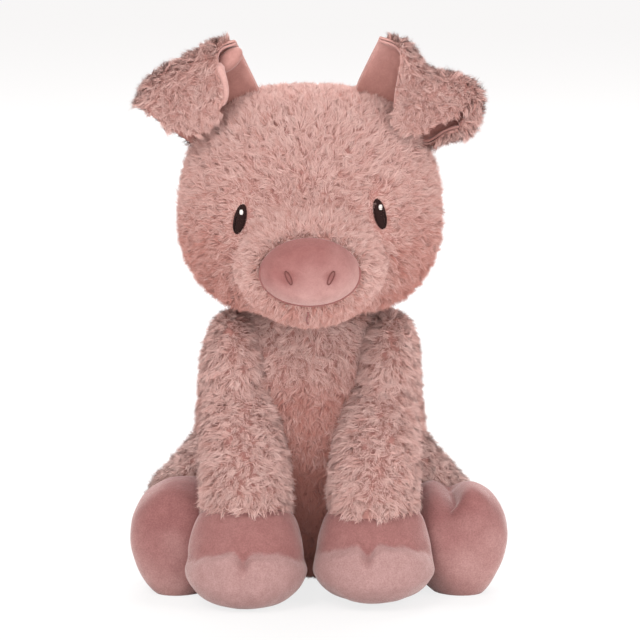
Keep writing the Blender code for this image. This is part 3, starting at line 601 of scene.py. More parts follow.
def mesh_from_arrays(name, points, faces, uvs=None, normals=None):
    """A mesh of triangles from arrays of points and corners, with a map and normals."""
    mesh = bpy.data.meshes.new(name)
    mesh.vertices.add(len(points))
    mesh.vertices.foreach_set("co", points.astype(np.float32).ravel())
    mesh.loops.add(faces.size)
    mesh.loops.foreach_set("vertex_index", faces.astype(np.int32).ravel())
    mesh.polygons.add(len(faces))
    mesh.polygons.foreach_set("loop_start", np.arange(0, faces.size, 3, dtype=np.int32))
    mesh.update(calc_edges=True)
    if uvs is not None:
        layer = mesh.uv_layers.new(name=BAKE_MAP)
        layer.data.foreach_set("uv", uvs[faces.ravel()].astype(np.float32).ravel())
    mesh.shade_smooth()
    if normals is not None:
        for label in ("custom_normal", PILE_NORMAL_MAP):
            attribute = mesh.attributes.new(label, "FLOAT_VECTOR", "POINT")
            attribute.data.foreach_set("vector", normals.astype(np.float32).ravel())
    return mesh


def swelled(name, low, high, rings, place=None, spread=None, segments=12, inset=0, levels=3):
    """A cage of rings, subdivided and swelled to the box from low to high, then inset."""
    bm = bmesh.new()
    previous = None
    for index, (height, width, depth, shift) in enumerate(rings):
        across = spread[index] if spread else 0
        ring = []
        for corner in range(segments):
            angle = math.tau * (corner + 1 / 2) / segments
            ring.append(bm.verts.new((across + width * math.cos(angle),
                                      shift + depth * math.sin(angle), height)))
        if previous:
            for corner in range(segments):
                after = (corner + 1) % segments
                bm.faces.new((previous[corner], previous[after], ring[after], ring[corner]))
        else:
            bm.faces.new(reversed(ring))
        previous = ring
    bm.faces.new(previous)
    mesh = bpy.data.meshes.new(name)
    bm.to_mesh(mesh)
    bm.free()
    obj = link(name, mesh)
    swell = obj.modifiers.new("swell", "SUBSURF")
    swell.levels = levels
    swell.render_levels = levels
    apply_modifiers(obj)
    points = get_points(obj)
    low_now, high_now = points.min(0), points.max(0)
    low, high = np.array(low), np.array(high)
    set_points(obj, low + (points - low_now) / (high_now - low_now) * (high - low))
    if place:
        obj.data.transform(place)
    obj.data.update()
    set_points(obj, get_points(obj) - inset * get_normals(obj))
    return obj


def ellipsoid(name, centre, radii):
    bm = bmesh.new()
    bmesh.ops.create_uvsphere(bm, u_segments=48, v_segments=32, radius=1)
    mesh = bpy.data.meshes.new(name)
    bm.to_mesh(mesh)
    bm.free()
    mesh.transform(Matrix.Translation(centre) @ Matrix.Diagonal((*radii, 1)))
    return link(name, mesh)


def fused(name, pieces, voxel, smoothing):
    """Closed pieces grown into one skin, with their meeting lines softened."""
    bm = bmesh.new()
    for piece in pieces:
        bm.from_mesh(piece.data)
    mesh = bpy.data.meshes.new(name)
    bm.to_mesh(mesh)
    bm.free()
    for piece in pieces:
        bpy.data.objects.remove(piece)
    obj = link(name, mesh)
    remesh = obj.modifiers.new("remesh", "REMESH")
    remesh.mode = "VOXEL"
    remesh.voxel_size = voxel
    smooth = obj.modifiers.new("smooth", "SMOOTH")
    smooth.factor = 0.5
    smooth.iterations = smoothing
    return apply_modifiers(obj)


def bump_at(points, centre, radii):
    """A smooth hump of height 1 at a centre, as wide as its radii."""
    away = (points - np.array(centre)) / np.array(radii)
    return np.exp(-(away ** 2).sum(1))


def smoothstep(low, high, values):
    share = np.clip((values - low) / (high - low), 0, 1)
    return share * share * (3 - 2 * share)


def sided(place, side):
    """A place on the right, or its mirror image on the left."""
    return (side * place[0], place[1], place[2])


def least_distance(places, targets):
    """Distance of each place from the nearest of some points."""
    best = np.full(len(places), np.inf)
    for target in targets:
        best = np.minimum(best, np.linalg.norm(places - target, axis=1))
    return best


def tree_of(obj):
    return BVHTree.FromObject(obj, bpy.context.evaluated_depsgraph_get())


# Materials

def add_node(tree, kind, inputs=None, **settings):
    """A node with its settings; each input is linked to a socket or takes a plain value."""
    node = tree.nodes.new(kind)
    for label, value in settings.items():
        setattr(node, label, value)
    for label, value in (inputs or {}).items():
        if isinstance(value, bpy.types.NodeSocket):
            tree.links.new(value, node.inputs[label])
        else:
            node.inputs[label].default_value = value
    return node


def new_material(name, roughness, sheen=0, sheen_roughness=0.5, sheen_tint=WHITE):
    material = bpy.data.materials.new(name)
    material.use_nodes = True
    tree = material.node_tree
    shader = tree.nodes["Principled BSDF"]
    shader.inputs["Roughness"].default_value = roughness
    shader.inputs["Specular IOR Level"].default_value = FABRIC_SPECULAR
    shader.inputs["Sheen Weight"].default_value = sheen
    shader.inputs["Sheen Roughness"].default_value = sheen_roughness
    shader.inputs["Sheen Tint"].default_value = sheen_tint
    return material, tree, shader


def ramp(tree, factor, stops):
    node = add_node(tree, "ShaderNodeValToRGB", {"Fac": factor})
    elements = node.color_ramp.elements
    while len(elements) < len(stops):
        elements.new(0.5)
    for element, (place, value) in zip(elements, stops):
        element.position = place
        element.color = value
    return node.outputs["Color"]


def mixed(tree, factor, first, second, blend="MIX"):
    """Two colours mixed by a factor; each may be a socket or a plain value."""
    node = add_node(tree, "ShaderNodeMix", {0: factor, 6: first, 7: second},
                    data_type="RGBA", blend_type=blend)
    return node.outputs[2]


def noise_value(tree, scale, detail=3, roughness=0.55, distortion=0):
    coordinates = add_node(tree, "ShaderNodeTexCoord")
    node = add_node(tree, "ShaderNodeTexNoise", {
        "Scale": scale, "Detail": detail, "Roughness": roughness, "Distortion": distortion,
        "Vector": coordinates.outputs["Object"]})
    return node.outputs["Fac"]


def bump(tree, shader, height, distance, strength=1, under=None):
    inputs = {"Strength": strength, "Distance": distance, "Height": height}
    if under:
        inputs["Normal"] = under
    node = add_node(tree, "ShaderNodeBump", inputs)
    tree.links.new(node.outputs["Normal"], shader.inputs["Normal"])
    return node.outputs["Normal"]


def darkened(value, share):
    return tuple(share * channel for channel in value[:3]) + (1,)


def pile_material(name, dark, middle, pale):
    """Ribbons take their shade across the map and darken towards their roots along it, as
    painted shade.

    Both sides of a ribbon are lit by a mix of the soft normal that it keeps and its own.
    """
    material, tree, shader = new_material(name, PILE_ROUGHNESS)
    kept = add_node(tree, "ShaderNodeAttribute", attribute_name=PILE_NORMAL_MAP)
    turned = add_node(tree, "ShaderNodeVectorTransform", {"Vector": kept.outputs["Vector"]},
                      vector_type="NORMAL", convert_from="OBJECT", convert_to="WORLD")
    flat = add_node(tree, "ShaderNodeNewGeometry")
    leaning = add_node(tree, "ShaderNodeMix", {
        "Factor": FLAT_SHARE, 4: turned.outputs["Vector"], 5: flat.outputs["True Normal"]},
        data_type="VECTOR")
    round_off = add_node(tree, "ShaderNodeVectorMath", {0: leaning.outputs[1]},
                         operation="NORMALIZE")
    tree.links.new(round_off.outputs["Vector"], shader.inputs["Normal"])
    chart = add_node(tree, "ShaderNodeUVMap", uv_map=BAKE_MAP)
    split = add_node(tree, "ShaderNodeSeparateXYZ", {"Vector": chart.outputs["UV"]})
    shade = ramp(tree, split.outputs["X"], ((0, dark), (0.5, middle), (1, pale)))
    depth = ramp(tree, split.outputs["Y"], PILE_ROOT_PAINTED_SHADE)
    tree.links.new(mixed(tree, 1.0, shade, depth, "MULTIPLY"), shader.inputs["Base Color"])
    return material


def base_material(name, value):
    material, tree, shader = new_material(name, BASE_ROUGHNESS)
    patches = noise_value(tree, BASE_PATCH_SCALE)
    body = mixed(tree, patches, darkened(value, BASE_DEEP), value)
    tree.links.new(body, shader.inputs["Base Color"])
    bump(tree, shader, noise_value(tree, BASE_GRAIN_SCALE), BASE_GRAIN_DEPTH)
    return material


def set_nap_and_painted_light(obj, values):
    """How far each point turns pale, 0 to 1, which its material reads: partly where the nap
    turns, and partly painted light and shade.
    """
    layer = obj.data.attributes.new(NAP_AND_PAINTED_LIGHT_MAP, "FLOAT", "POINT")
    layer.data.foreach_set("value", np.clip(values, 0, 1).astype(np.float32))


def velboa_material(name, upper, lower, grain=0.14):
    """Short smooth pile that pales by its map of nap and painted light and shade, with brushed
    patches and a grain.
    """
    material, tree, shader = new_material(name, VELBOA_ROUGHNESS, *VELBOA_SHEEN)
    nap_and_painted_light = add_node(tree, "ShaderNodeAttribute", attribute_name=NAP_AND_PAINTED_LIGHT_MAP)
    patches = noise_value(tree, VELBOA_PATCH_SCALE, 3, 0.6, 0.8)
    body = mixed(tree, nap_and_painted_light.outputs["Fac"], upper, lower)
    brushed = ramp(tree, noise_value(tree, VELBOA_BRUSH_SCALE, 3, 0.65, 0.5), BRUSHED_SHADES)
    speckle = ramp(tree, noise_value(tree, VELBOA_SPECKLE_SCALE, 2, 0.7), (
        (0.30, (1 - grain, 1 - 1.2 * grain, 1 - 1.2 * grain, 1)), (0.70, WHITE)))
    body = mixed(tree, 1.0, body, brushed, "MULTIPLY")
    tree.links.new(mixed(tree, 1.0, body, speckle, "MULTIPLY"), shader.inputs["Base Color"])
    soft = bump(tree, shader, patches, VELBOA_PATCH_DEPTH, 0.5)
    bump(tree, shader, noise_value(tree, VELBOA_GRAIN_SCALE, 3, 0.7), VELBOA_GRAIN_DEPTH, 1.0,
         soft)
    return material


def thread_material(name, value, roughness=0.4, sheen=0.2):
    material, tree, shader = new_material(name, roughness, sheen)
    shader.inputs["Base Color"].default_value = value
    shader.inputs["Specular IOR Level"].default_value = THREAD_SPECULAR
    strands = noise_value(tree, THREAD_STRAND_SCALE, 2)
    body = mixed(tree, strands, darkened(value, THREAD_DEEP), value)
    tree.links.new(body, shader.inputs["Base Color"])
    bump(tree, shader, strands, THREAD_STRAND_DEPTH, 0.6)
    return material


PILE = pile_material("pile", colour(190, 127, 116), colour(226, 188, 181), colour(246, 220, 214))
# The backing shows between the tufts painted darker than the pile, as painted shade at their
# roots
BASE = base_material("base_fabric", colour(196, 142, 134))
EAR_BASE = base_material("ear_base_fabric", colour(212, 164, 156))
VELBOA = velboa_material("velboa", colour(156, 109, 106), colour(178, 144, 141), 0.26)
HIND_VELBOA = velboa_material("hind_velboa", colour(150, 102, 100), colour(184, 145, 141), 0.26)
SNOUT_VELBOA = velboa_material("snout_velboa", colour(146, 96, 93), colour(190, 152, 147), 0.10)
LINING = velboa_material("lining_velboa", colour(172, 120, 111), colour(200, 154, 147), 0.10)
TAIL_VELBOA = velboa_material("tail_velboa", colour(176, 126, 122), colour(182, 132, 128))
HEM = velboa_material("hem_velboa", colour(206, 164, 157), colour(212, 172, 165), 0.08)
EYE_THREAD = thread_material("eye_thread", colour(40, 14, 11), 0.85, 0)
WHITE_THREAD = thread_material("white_thread", colour(246, 240, 236), 0.45)
ROSE_THREAD = thread_material("rose_thread", colour(112, 58, 54), 0.6)
SEAM_THREAD = thread_material("seam_thread", colour(146, 92, 88), 0.7)


def dress(obj, material, body, slot_name, *nodes):
    """Give a piece its material, let it ride on its body and stand for its solids."""
    obj.data.materials.clear()
    obj.data.materials.append(material)
    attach(obj, body)
    if nodes:
        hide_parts(*nodes)
    return obj


# The pile

def unit(vectors):
    return vectors / np.maximum(np.linalg.norm(vectors, axis=-1, keepdims=True), LEAST_NORM)


def swirl_field(points, size):
    """Smooth random directions that turn over about the given size, the same in each run."""
    noise.seed_set(SWIRL_SEED)
    return np.array([noise.noise_vector(Vector(point) / size) for point in points])


def patch_field(points, size):
    return np.array([noise.noise(Vector(point) / size) for point in points])


def constant(value):
    """A field with the same value at every place."""
    return lambda places, ups: value + 0 * places[:, 0]


def above(height):
    """A field that keeps only what is above a height."""
    return lambda places, ups: 1.0 * (places[:, 2] > height)


def spaced_out(places, least):
    """Which of some random places stay when no two may be nearer than the least gap."""
    tree = KDTree(len(places))
    for index, place in enumerate(places):
        tree.insert(place, index)
    tree.balance()
    stays = np.ones(len(places), bool)
    for index, place in enumerate(places):
        if stays[index]:
            for near, other, distance in tree.find_range(place, least):
                if other > index:
                    stays[other] = False
    return stays


def roots_on(skin, rng, spacing, keep, avoid):
    """Evenly scattered places on a skin with their normals, thinned by keep and by skins."""
    mesh = skin.data
    mesh.calc_loop_triangles()
    corners = np.empty(len(mesh.loop_triangles) * 3, np.int32)
    mesh.loop_triangles.foreach_get("vertices", corners)
    corners = corners.reshape(-1, 3)
    points, normals = get_points(skin), get_normals(skin)
    first, second, third = (points[corners[:, column]] for column in range(3))
    areas = np.linalg.norm(np.cross(second - first, third - first), axis=1) / 2
    count = int(CROWDING * areas.sum() / spacing ** 2)
    chosen = rng.choice(len(areas), count, p=areas / areas.sum())
    shares = rng.random((count, 2))
    over = shares.sum(1) > 1
    shares[over] = 1 - shares[over]
    weights = np.column_stack((1 - shares.sum(1), shares))
    places = np.einsum("ij,ijk->ik", weights, points[corners[chosen]])
    ups = unit(np.einsum("ij,ijk->ik", weights, normals[corners[chosen]]))
    kept = spaced_out(places, LEAST_GAP_SHARE * spacing)
    kept &= rng.random(count) < keep(places, ups)
    places, ups = places[kept], ups[kept]
    for tree in avoid:
        outside = np.ones(len(places), bool)
        for index, place in enumerate(places):
            near, normal, face, distance = tree.find_nearest(Vector(place), AVOID_REACH)
            if near and (Vector(place) - near).dot(normal) < AVOID_GAP:
                outside[index] = False
        places, ups = places[outside], ups[outside]
    return places, ups


def ribbon_charts(shades):
    """Each ribbon's map: its shade across, and the way from its root to its tip along."""
    chart = np.empty((len(shades), RIBBON_POINTS, 2))
    for level, share in enumerate(RIBBON_SHARES):
        row = np.full(len(shades), share + CHART_MARGIN)
        chart[:, 2 * level] = np.column_stack((shades - CHART_MARGIN, row))
        chart[:, 2 * level + 1] = np.column_stack((shades + CHART_MARGIN, row))
    chart[:, -1] = np.column_stack((shades, np.full(len(shades), 1 - CHART_MARGIN)))
    return chart


def ribbon_points(root, control, tip, half):
    """Each ribbon's points in pairs along a curve from its root, with one at its tip."""
    points = np.empty((root.shape[0] * root.shape[1], RIBBON_POINTS, 3))
    for level, (share, wide) in enumerate(zip(RIBBON_SHARES, RIBBON_WIDTHS)):
        centre = (1 - share) ** 2 * root + 2 * share * (1 - share) * control + share ** 2 * tip
        points[:, 2 * level] = (centre - wide * half).reshape(-1, 3)
        points[:, 2 * level + 1] = (centre + wide * half).reshape(-1, 3)
    points[:, -1] = tip.reshape(-1, 3)
    points[..., 2] = np.maximum(points[..., 2], 0)
    return points


def pile(name, body, skin, seed, length, comb, keep, shade, spacing=PILE_SPACING,
         lean=PILE_LEAN, swirl=PILE_SWIRL, avoid=()):
    """Tufts of tapered ribbons on a skin, combed along a field that swirls at random."""
    rng = np.random.default_rng(seed)
    places, ups = roots_on(skin, rng, spacing, keep, avoid)
    count = len(places)
    along = comb(places, ups) + swirl * swirl_field(places, SWIRL_SIZE)
    along += COMB_SPREAD * rng.normal(size=(count, 3))
    along = unit(along - (along * ups).sum(1)[:, None] * ups)
    beside = np.cross(ups, along)
    lengths = length(places, ups) * rng.uniform(*LENGTH_SHARES, count)
    leans = lean + rng.normal(0, LEAN_SPREAD, count)
    curls = rng.normal(0, CURL_SPREAD, count)
    hooks = rng.normal(0, HOOK_SPREAD, count)
    tips = (places + (lengths * np.cos(leans))[:, None] * ups
            + (lengths * np.sin(leans))[:, None] * along
            + (lengths * curls)[:, None] * beside)
    tuft_shades = shade(places, ups) + TUFT_PATCH * patch_field(places, TUFT_PATCH_SIZE)
    tuft_shades += rng.normal(0, TUFT_SHADE_SPREAD, count)

    radius = TUFT_SPREAD * spacing * np.sqrt(rng.random((count, STRANDS)))
    angle = math.tau * rng.random((count, STRANDS))
    offset = ((radius * np.cos(angle))[..., None] * along[:, None]
              + (radius * np.sin(angle))[..., None] * beside[:, None])
    root = places[:, None] + offset - ROOT_DEPTH * ups[:, None]
    reach = lengths[:, None, None]
    strayed = TIP_SPREAD * reach * rng.normal(size=(count, STRANDS, 3))
    tip = tips[:, None] + TIP_GATHERING * offset + strayed
    rise = RISE_UP * reach * ups[:, None] + RISE_ALONG * reach * along[:, None]
    hook = (hooks * lengths)[:, None, None] * beside[:, None]
    control = root + rise + hook + RISE_SPREAD * reach * rng.normal(size=(count, STRANDS, 3))
    facing = unit(ups[:, None] + FACING_SPREAD * rng.normal(size=(count, STRANDS, 3)))
    across = unit(np.cross(tip - root, facing))
    outward = unit(np.cross(across, tip - root))
    across *= np.where((outward * ups[:, None]).sum(-1) < 0, -1, 1)[..., None]
    outward = unit(np.cross(across, tip - root))
    half = across * (RIBBON_WIDTH / 2) * rng.uniform(*WIDTH_SHARES, (count, STRANDS, 1))
    soft = unit(ups[:, None] + SOFT_OUTWARD * outward + SOFT_ALONG * unit(tip - root))
    shades = tuft_shades[:, None] + rng.normal(0, RIBBON_SHADE_SPREAD, (count, STRANDS))

    points = ribbon_points(root, control, tip, half)
    normals = np.repeat(soft.reshape(-1, 1, 3), RIBBON_POINTS, axis=1)
    chart = ribbon_charts(np.clip(shades, *RIBBON_SHADE_LIMITS).ravel())
    order = np.argsort(-np.repeat(places[:, 2], STRANDS), kind="stable")
    parts = max(1, math.ceil(len(order) / PIECE_RIBBONS))
    for number, chunk in enumerate(np.array_split(order, parts)):
        corners = (RIBBON_POINTS * np.arange(len(chunk)))[:, None, None] + RIBBON_CORNERS
        label = name if parts == 1 else f"{name}_{number + 1}"
        mesh = mesh_from_arrays(label, points[chunk].reshape(-1, 3), corners.reshape(-1, 3),
                                chart[chunk].reshape(-1, 2), normals[chunk].reshape(-1, 3))
        dress(link(label, mesh), PILE, body, "long_pile_plush")


# Head

def placed(place):
    return Matrix.Translation(place)


def box_form(name, size, place, rings, inset, **options):
    """A swelled form whose box stands on its place, centred across."""
    width, depth, height = size
    return swelled(name, (-width / 2, -depth / 2, 0), (width / 2, depth / 2, height), rings,
                   place, inset=inset, **options)


head_skin = fused("head_base", [
    box_form("head_form", HEAD_SIZE, placed(HEAD_PLACE), HEAD_RINGS, PILE_DEPTH),
    box_form("muzzle_form", MUZZLE_SIZE, placed(MUZZLE_PLACE) @ FACING_FRONT, MUZZLE_RINGS,
             MUZZLE_PILE_DEPTH),
], voxel=HEAD_VOXEL, smoothing=HEAD_SMOOTHING)

points, normals = get_points(head_skin), get_normals(head_skin)
move = np.zeros(len(points))
for word, side in SIDES:
    eye = np.array((side * EYE_X, EYE_Y, EYE_HEIGHTS[word]))
    move += BROW_RISE * bump_at(points, eye, BROW_RADII)
    move -= SOCKET_DENT * bump_at(points, eye + sided(SOCKET_FROM_EYE, side), SOCKET_RADII)
    move += CHEEK_RISE * bump_at(points, sided(CHEEK_PLACE, side), CHEEK_RADII)
set_points(head_skin, points + move[:, None] * normals)
dress(head_skin, BASE, "head", "long_pile_plush", "head_cover", "head_filling",
      "muzzle_cover", "muzzle_filling")


def muzzle_share(places):
    """1 on the muzzle in front of the face, 0 on the rest of the head."""
    spread = np.sqrt((places[:, 0] / MUZZLE_FACE_HALVES[0]) ** 2
                     + ((places[:, 2] - MUZZLE_FACE_Z) / MUZZLE_FACE_HALVES[1]) ** 2)
    ahead = smoothstep(*MUZZLE_FADE_Y, places[:, 1])
    return ahead * smoothstep(*MUZZLE_SPREAD_FADE, spread)


def eye_distance(places):
    """How far a place is from the nearer eye, where 1 is the eye's own edge."""
    best = np.full(len(places), np.inf)
    for word, side in SIDES:
        across = places[:, 0] - side * EYE_X
        up = places[:, 2] - EYE_HEIGHTS[word]
        lean = -side * EYE_LEAN
        wide = (across * math.cos(lean) - up * math.sin(lean)) / (EYE_SIZE[0] / 2)
        tall = (across * math.sin(lean) + up * math.cos(lean)) / (EYE_SIZE[1] / 2)
        near = np.where(places[:, 1] < FACE_START_Y, np.hypot(wide, tall), np.inf)
        best = np.minimum(best, near)
    return best


def snout_radius(places):
    return np.hypot(places[:, 0] / (SNOUT_SIZE[0] / 2),
                    (places[:, 2] - SNOUT_PLACE[2]) / (SNOUT_SIZE[1] / 2))


def under_snout(places):
    return (places[:, 1] < SNOUT_BACK_Y) & (snout_radius(places) < SNOUT_BARE_SHARE)


def head_keep(places, ups):
    from_neck = np.hypot(places[:, 0], places[:, 1] - NECK_BARE_Y)
    neck = (places[:, 2] > NECK_BARE_Z) | (from_neck > NECK_BARE_RADIUS)
    return 1.0 * ((eye_distance(places) > EYE_BARE_SHARE) & ~under_snout(places) & neck)


def face_comb(places, ups):
    """Combed outward from the snout, downward a little, and away from the eyes."""
    away = unit(places - np.array(FACE_COMB_CENTRE)) + np.array(FACE_COMB_LAY)
    away = unit(away) * (1 + FACE_COMB_MUZZLE * muzzle_share(places))[:, None]
    for word, side in SIDES:
        from_eye = places - np.array((side * EYE_X, EYE_Y, EYE_HEIGHTS[word]))
        from_eye[:, 2] *= EYE_COMB_FLATTENING
        near = np.exp(-(np.linalg.norm(from_eye, axis=1) / EYE_COMB_RADIUS) ** 2)
        away += EYE_COMB_PUSH * near[:, None] * unit(from_eye)
    return away


def head_length(places, ups):
    clear = smoothstep(*EYE_CLEAR_FADE, eye_distance(places))
    top = smoothstep(*CROWN_SHORT_FADE_Z, places[:, 2])
    face = EYE_PILE_LENGTH + FACE_PILE_GAIN * clear
    face = face * (1 - MUZZLE_PILE_LOSS * muzzle_share(places))
    return face * (1 - CROWN_PILE_LOSS * top)


def head_shade(places, ups):
    # Painted light paler on the crown, painted shade darker on the cheeks and under the chin,
    # and the muzzle a little paler
    muzzle = muzzle_share(places)
    outer = smoothstep(*CHEEK_FADE_X, np.abs(places[:, 0]))
    cheeks = outer * smoothstep(*CHEEK_FADE_Z, places[:, 2]) * (1 - muzzle)
    crown = smoothstep(*CROWN_FADE_Z, places[:, 2])
    chin = smoothstep(*CHIN_FADE_Z, places[:, 2])
    return (FACE_SHADE + CROWN_PAINTED_LIGHT * crown - CHEEK_PAINTED_SHADE * cheeks + MUZZLE_SHADE * muzzle
            - CHIN_PAINTED_SHADE * chin)


def rim_comb(places, ups):
    return unit(np.array((0, RIM_AIM_Y, SNOUT_PLACE[2])) - places)


def rim_keep(places, ups):
    """A ring of short pile that leans over the edge of the snout, less of it below."""
    radius = snout_radius(places)
    ring = (places[:, 1] < RIM_BACK_Y) & (radius > RIM_BAND[0]) & (radius < RIM_BAND[1])
    above_middle = smoothstep(*RIM_FADE_Z, places[:, 2] - SNOUT_PLACE[2])
    return ring * (RIM_LOW_SHARE + (1 - RIM_LOW_SHARE) * above_middle)


pile("head_pile", "head", head_skin, SEEDS["head"], head_length, face_comb, head_keep,
     head_shade)
pile("snout_rim_pile", "head", head_skin, SEEDS["rim"], constant(RIM_PILE_LENGTH), rim_comb,
     rim_keep, constant(RIM_SHADE), lean=RIM_LEAN, swirl=RIM_SWIRL)


# Snout, nostrils, mouth and eyes

def on_surface(tree, x, z, front=-0.2):
    """The first point of a surface met by looking back from the front at x and z."""
    place, normal, face, distance = tree.ray_cast(Vector((x, front, z)), Vector((0, 1, 0)))
    return place, normal


def tube(name, paths, radius, sides=6, ends=0.45, tip=1):
    """Round threads along paths, thinner at their ends, as one mesh."""
    points, faces = [], []
    for path in paths:
        start = len(points)
        steps = len(path)
        for index, place in enumerate(path):
            before, after = path[max(index - 1, 0)], path[min(index + 1, steps - 1)]
            run = (Vector(after) - Vector(before)).normalized()
            side = run.orthogonal().normalized()
            up = run.cross(side)
            thick = radius * (ends if index in (0, steps - 1) else 1)
            thick *= 1 + (tip - 1) * index / (steps - 1)
            for corner in range(sides):
                angle = math.tau * corner / sides
                points.append(Vector(place) + thick * (math.cos(angle) * side
                                                       + math.sin(angle) * up))
        for index in range(steps - 1):
            for corner in range(sides):
                after = (corner + 1) % sides
                low = start + index * sides
                high = low + sides
                faces.append((low + corner, low + after, high + after))
                faces.append((low + corner, high + after, high + corner))
        for corner in range(1, sides - 1):
            faces.append((start, start + corner + 1, start + corner))
            last = start + (steps - 1) * sides
            faces.append((last, last + corner, last + corner + 1))
    return link(name, mesh_from_arrays(name, np.array(points), np.array(faces)))


snout = box_form("snout_pad", SNOUT_SIZE, placed(SNOUT_PLACE) @ FACING_FRONT, SNOUT_RINGS, 0,
                 levels=SNOUT_LEVELS)
points = get_points(snout)
across = points[:, 0] / (SNOUT_SIZE[0] / 2)
up = (points[:, 2] - SNOUT_PLACE[2]) / (SNOUT_SIZE[1] / 2)
front = smoothstep(*SNOUT_FADE_Y, points[:, 1])
points[:, 0] *= 1 - SNOUT_TAPER * up
rim = np.hypot(across, up)
# Paler towards the lower right and darker towards the top left, with random patches
pale = smoothstep(*SNOUT_PALE_FADE, SNOUT_PALE_ACROSS * across - SNOUT_PALE_UP * up)
pale += SNOUT_PALE_PATCH * patch_field(points, SNOUT_PATCH_SIZE)
fall = SNOUT_EDGE_FALL * smoothstep(*SNOUT_EDGE_FADE, rim) ** 2
points[:, 1] += front * (fall - SNOUT_DISH * (1 - rim))
for word, side in SIDES:
    away = np.hypot(points[:, 0] - side * NOSTRIL_X, points[:, 2] - NOSTRIL_Z)
    points[:, 1] += NOSTRIL_DENT * front * np.exp(-(away / NOSTRIL_DENT_RADIUS) ** 2)
    # Painted shade darkens the hollows of the nostrils
    pale -= sum(depth * np.exp(-(away / radius) ** 2) for depth, radius in NOSTRIL_PAINTED_SHADES)
set_points(snout, points)
set_nap_and_painted_light(snout, pale)
dress(snout, SNOUT_VELBOA, "head", "snout_velboa", "snout_disc")
snout_tree = tree_of(snout)
head_tree = tree_of(head_skin)

for word, side in SIDES:
    outline = []
    lean = side * NOSTRIL_LEAN
    for index in range(NOSTRIL_STEPS + 1):
        angle = math.tau * index / NOSTRIL_STEPS
        wide = NOSTRIL_SIZE[0] / 2 * math.sin(angle)
        tall = NOSTRIL_SIZE[1] / 2 * math.cos(angle)
        x = side * NOSTRIL_X + wide * math.cos(lean) + tall * math.sin(lean)
        z = NOSTRIL_Z - wide * math.sin(lean) + tall * math.cos(lean)
        place, normal = on_surface(snout_tree, x, z)
        outline.append(place + NOSTRIL_LIFT * normal)
    nostril = tube(f"nostril_thread_{word}", [outline], NOSTRIL_THREAD_RADIUS, ends=1)
    dress(nostril, ROSE_THREAD, "head", "rose_thread", f"nostril_{word}")

mouth_path = []
for index in range(MOUTH_STEPS + 1):
    z = MOUTH_TOP_Z - MOUTH_LENGTH * index / MOUTH_STEPS
    place, normal = on_surface(head_tree, MOUTH_X + MOUTH_WAVE * math.sin(index), z)
    mouth_path.append(place + MOUTH_LIFT * normal)
mouth = tube("mouth_thread", [mouth_path], MOUTH_THREAD_RADIUS)
dress(mouth, SEAM_THREAD, "head", "rose_thread", "mouth_stitch")

seam_path = []
for index in range(SEAM_STEPS + 1):
    angle = math.radians(SEAM_START_DEGREES + SEAM_SWEEP_DEGREES * index / SEAM_STEPS)
    x = SEAM_SHARE * (SNOUT_SIZE[0] / 2) * math.cos(angle)
    z = SNOUT_PLACE[2] + SEAM_SHARE * (SNOUT_SIZE[1] / 2) * math.sin(angle)
    place, normal = on_surface(snout_tree, x * (1 - SNOUT_TAPER * math.sin(angle)), z)
    seam_path.append(place + SEAM_LIFT * normal)
seam = tube("snout_seam", [seam_path], SEAM_THREAD_RADIUS)
dress(seam, SEAM_THREAD, "head", "rose_thread")


def satin(name, tree, x, z, size, lean, threads, thickness, lift):
    """Satin stitches side by side across a leaning oval, each bowed over the padding."""
    paths = []
    for index in range(threads):
        up = (2 * (index + 0.5) / threads - 1) * size[1] / 2
        half = size[0] / 2 * math.sqrt(max(1 - (2 * up / size[1]) ** 2, LEAST_STITCH))
        path = []
        for step in range(STITCH_STEPS + 1):
            share = 2 * step / STITCH_STEPS - 1
            across = half * share
            px = x + across * math.cos(lean) + up * math.sin(lean)
            pz = z - across * math.sin(lean) + up * math.cos(lean)
            place, normal = on_surface(tree, px, pz)
            crown = math.sqrt(max(1 - (share * half / (size[0] / 2)) ** 2
                                  - (2 * up / size[1]) ** 2, 0))
            path.append(place + (lift + thickness * crown) * normal)
        paths.append(path)
    return tube(name, paths, THREAD_RADIUS)


for word, side in SIDES:
    eye_z = EYE_HEIGHTS[word]
    eye = satin(f"eye_thread_{word}", head_tree, side * EYE_X, eye_z, EYE_SIZE,
                -side * EYE_LEAN, EYE_THREADS, EYE_PADDING, EYE_LIFT)
    dress(eye, EYE_THREAD, "head", "dark_thread", f"eye_{word}")
    spot_x = side * (EYE_X - HIGHLIGHT_INWARD) + HIGHLIGHT_ASIDE
    spot = satin(f"eye_spark_{word}", head_tree, spot_x, eye_z + HIGHLIGHT_RISE,
                 HIGHLIGHT_SIZE, 0, HIGHLIGHT_THREADS, HIGHLIGHT_PADDING, HIGHLIGHT_LIFT)
    dress(spot, WHITE_THREAD, "head", "white_thread", f"eye_highlight_{word}")


# Torso, front legs and haunches

def raise_shoulders(skin):
    """Round the shoulders up and out to where they meet the head's outline."""
    points = get_points(skin)
    for word, side in SIDES:
        top = bump_at(points, sided(SHOULDER_CAP_PLACE, side), SHOULDER_CAP_RADII)
        points[:, 2] += SHOULDER_CAP_RISE * top
        points[:, 0] += (side + 1) * SHOULDER_CAP_SPREAD * top
    set_points(skin, points)


torso_skin = fused("torso_base", [
    swelled("torso_form", TORSO_LOW, TORSO_HIGH, TORSO_RINGS, inset=PILE_DEPTH),
    ellipsoid("neck_form", NECK_PLACE, [NECK_RADIUS - PILE_DEPTH] * 3),
], voxel=TORSO_VOXEL, smoothing=TORSO_SMOOTHING)
raise_shoulders(torso_skin)
points = get_points(torso_skin)
points[:, 1] += LAP_DENT * bump_at(points, LAP_PLACE, LAP_RADII)
set_points(torso_skin, points)
dress(torso_skin, BASE, "torso", "long_pile_plush", "torso_cover", "torso_filling", "pellet_bag")


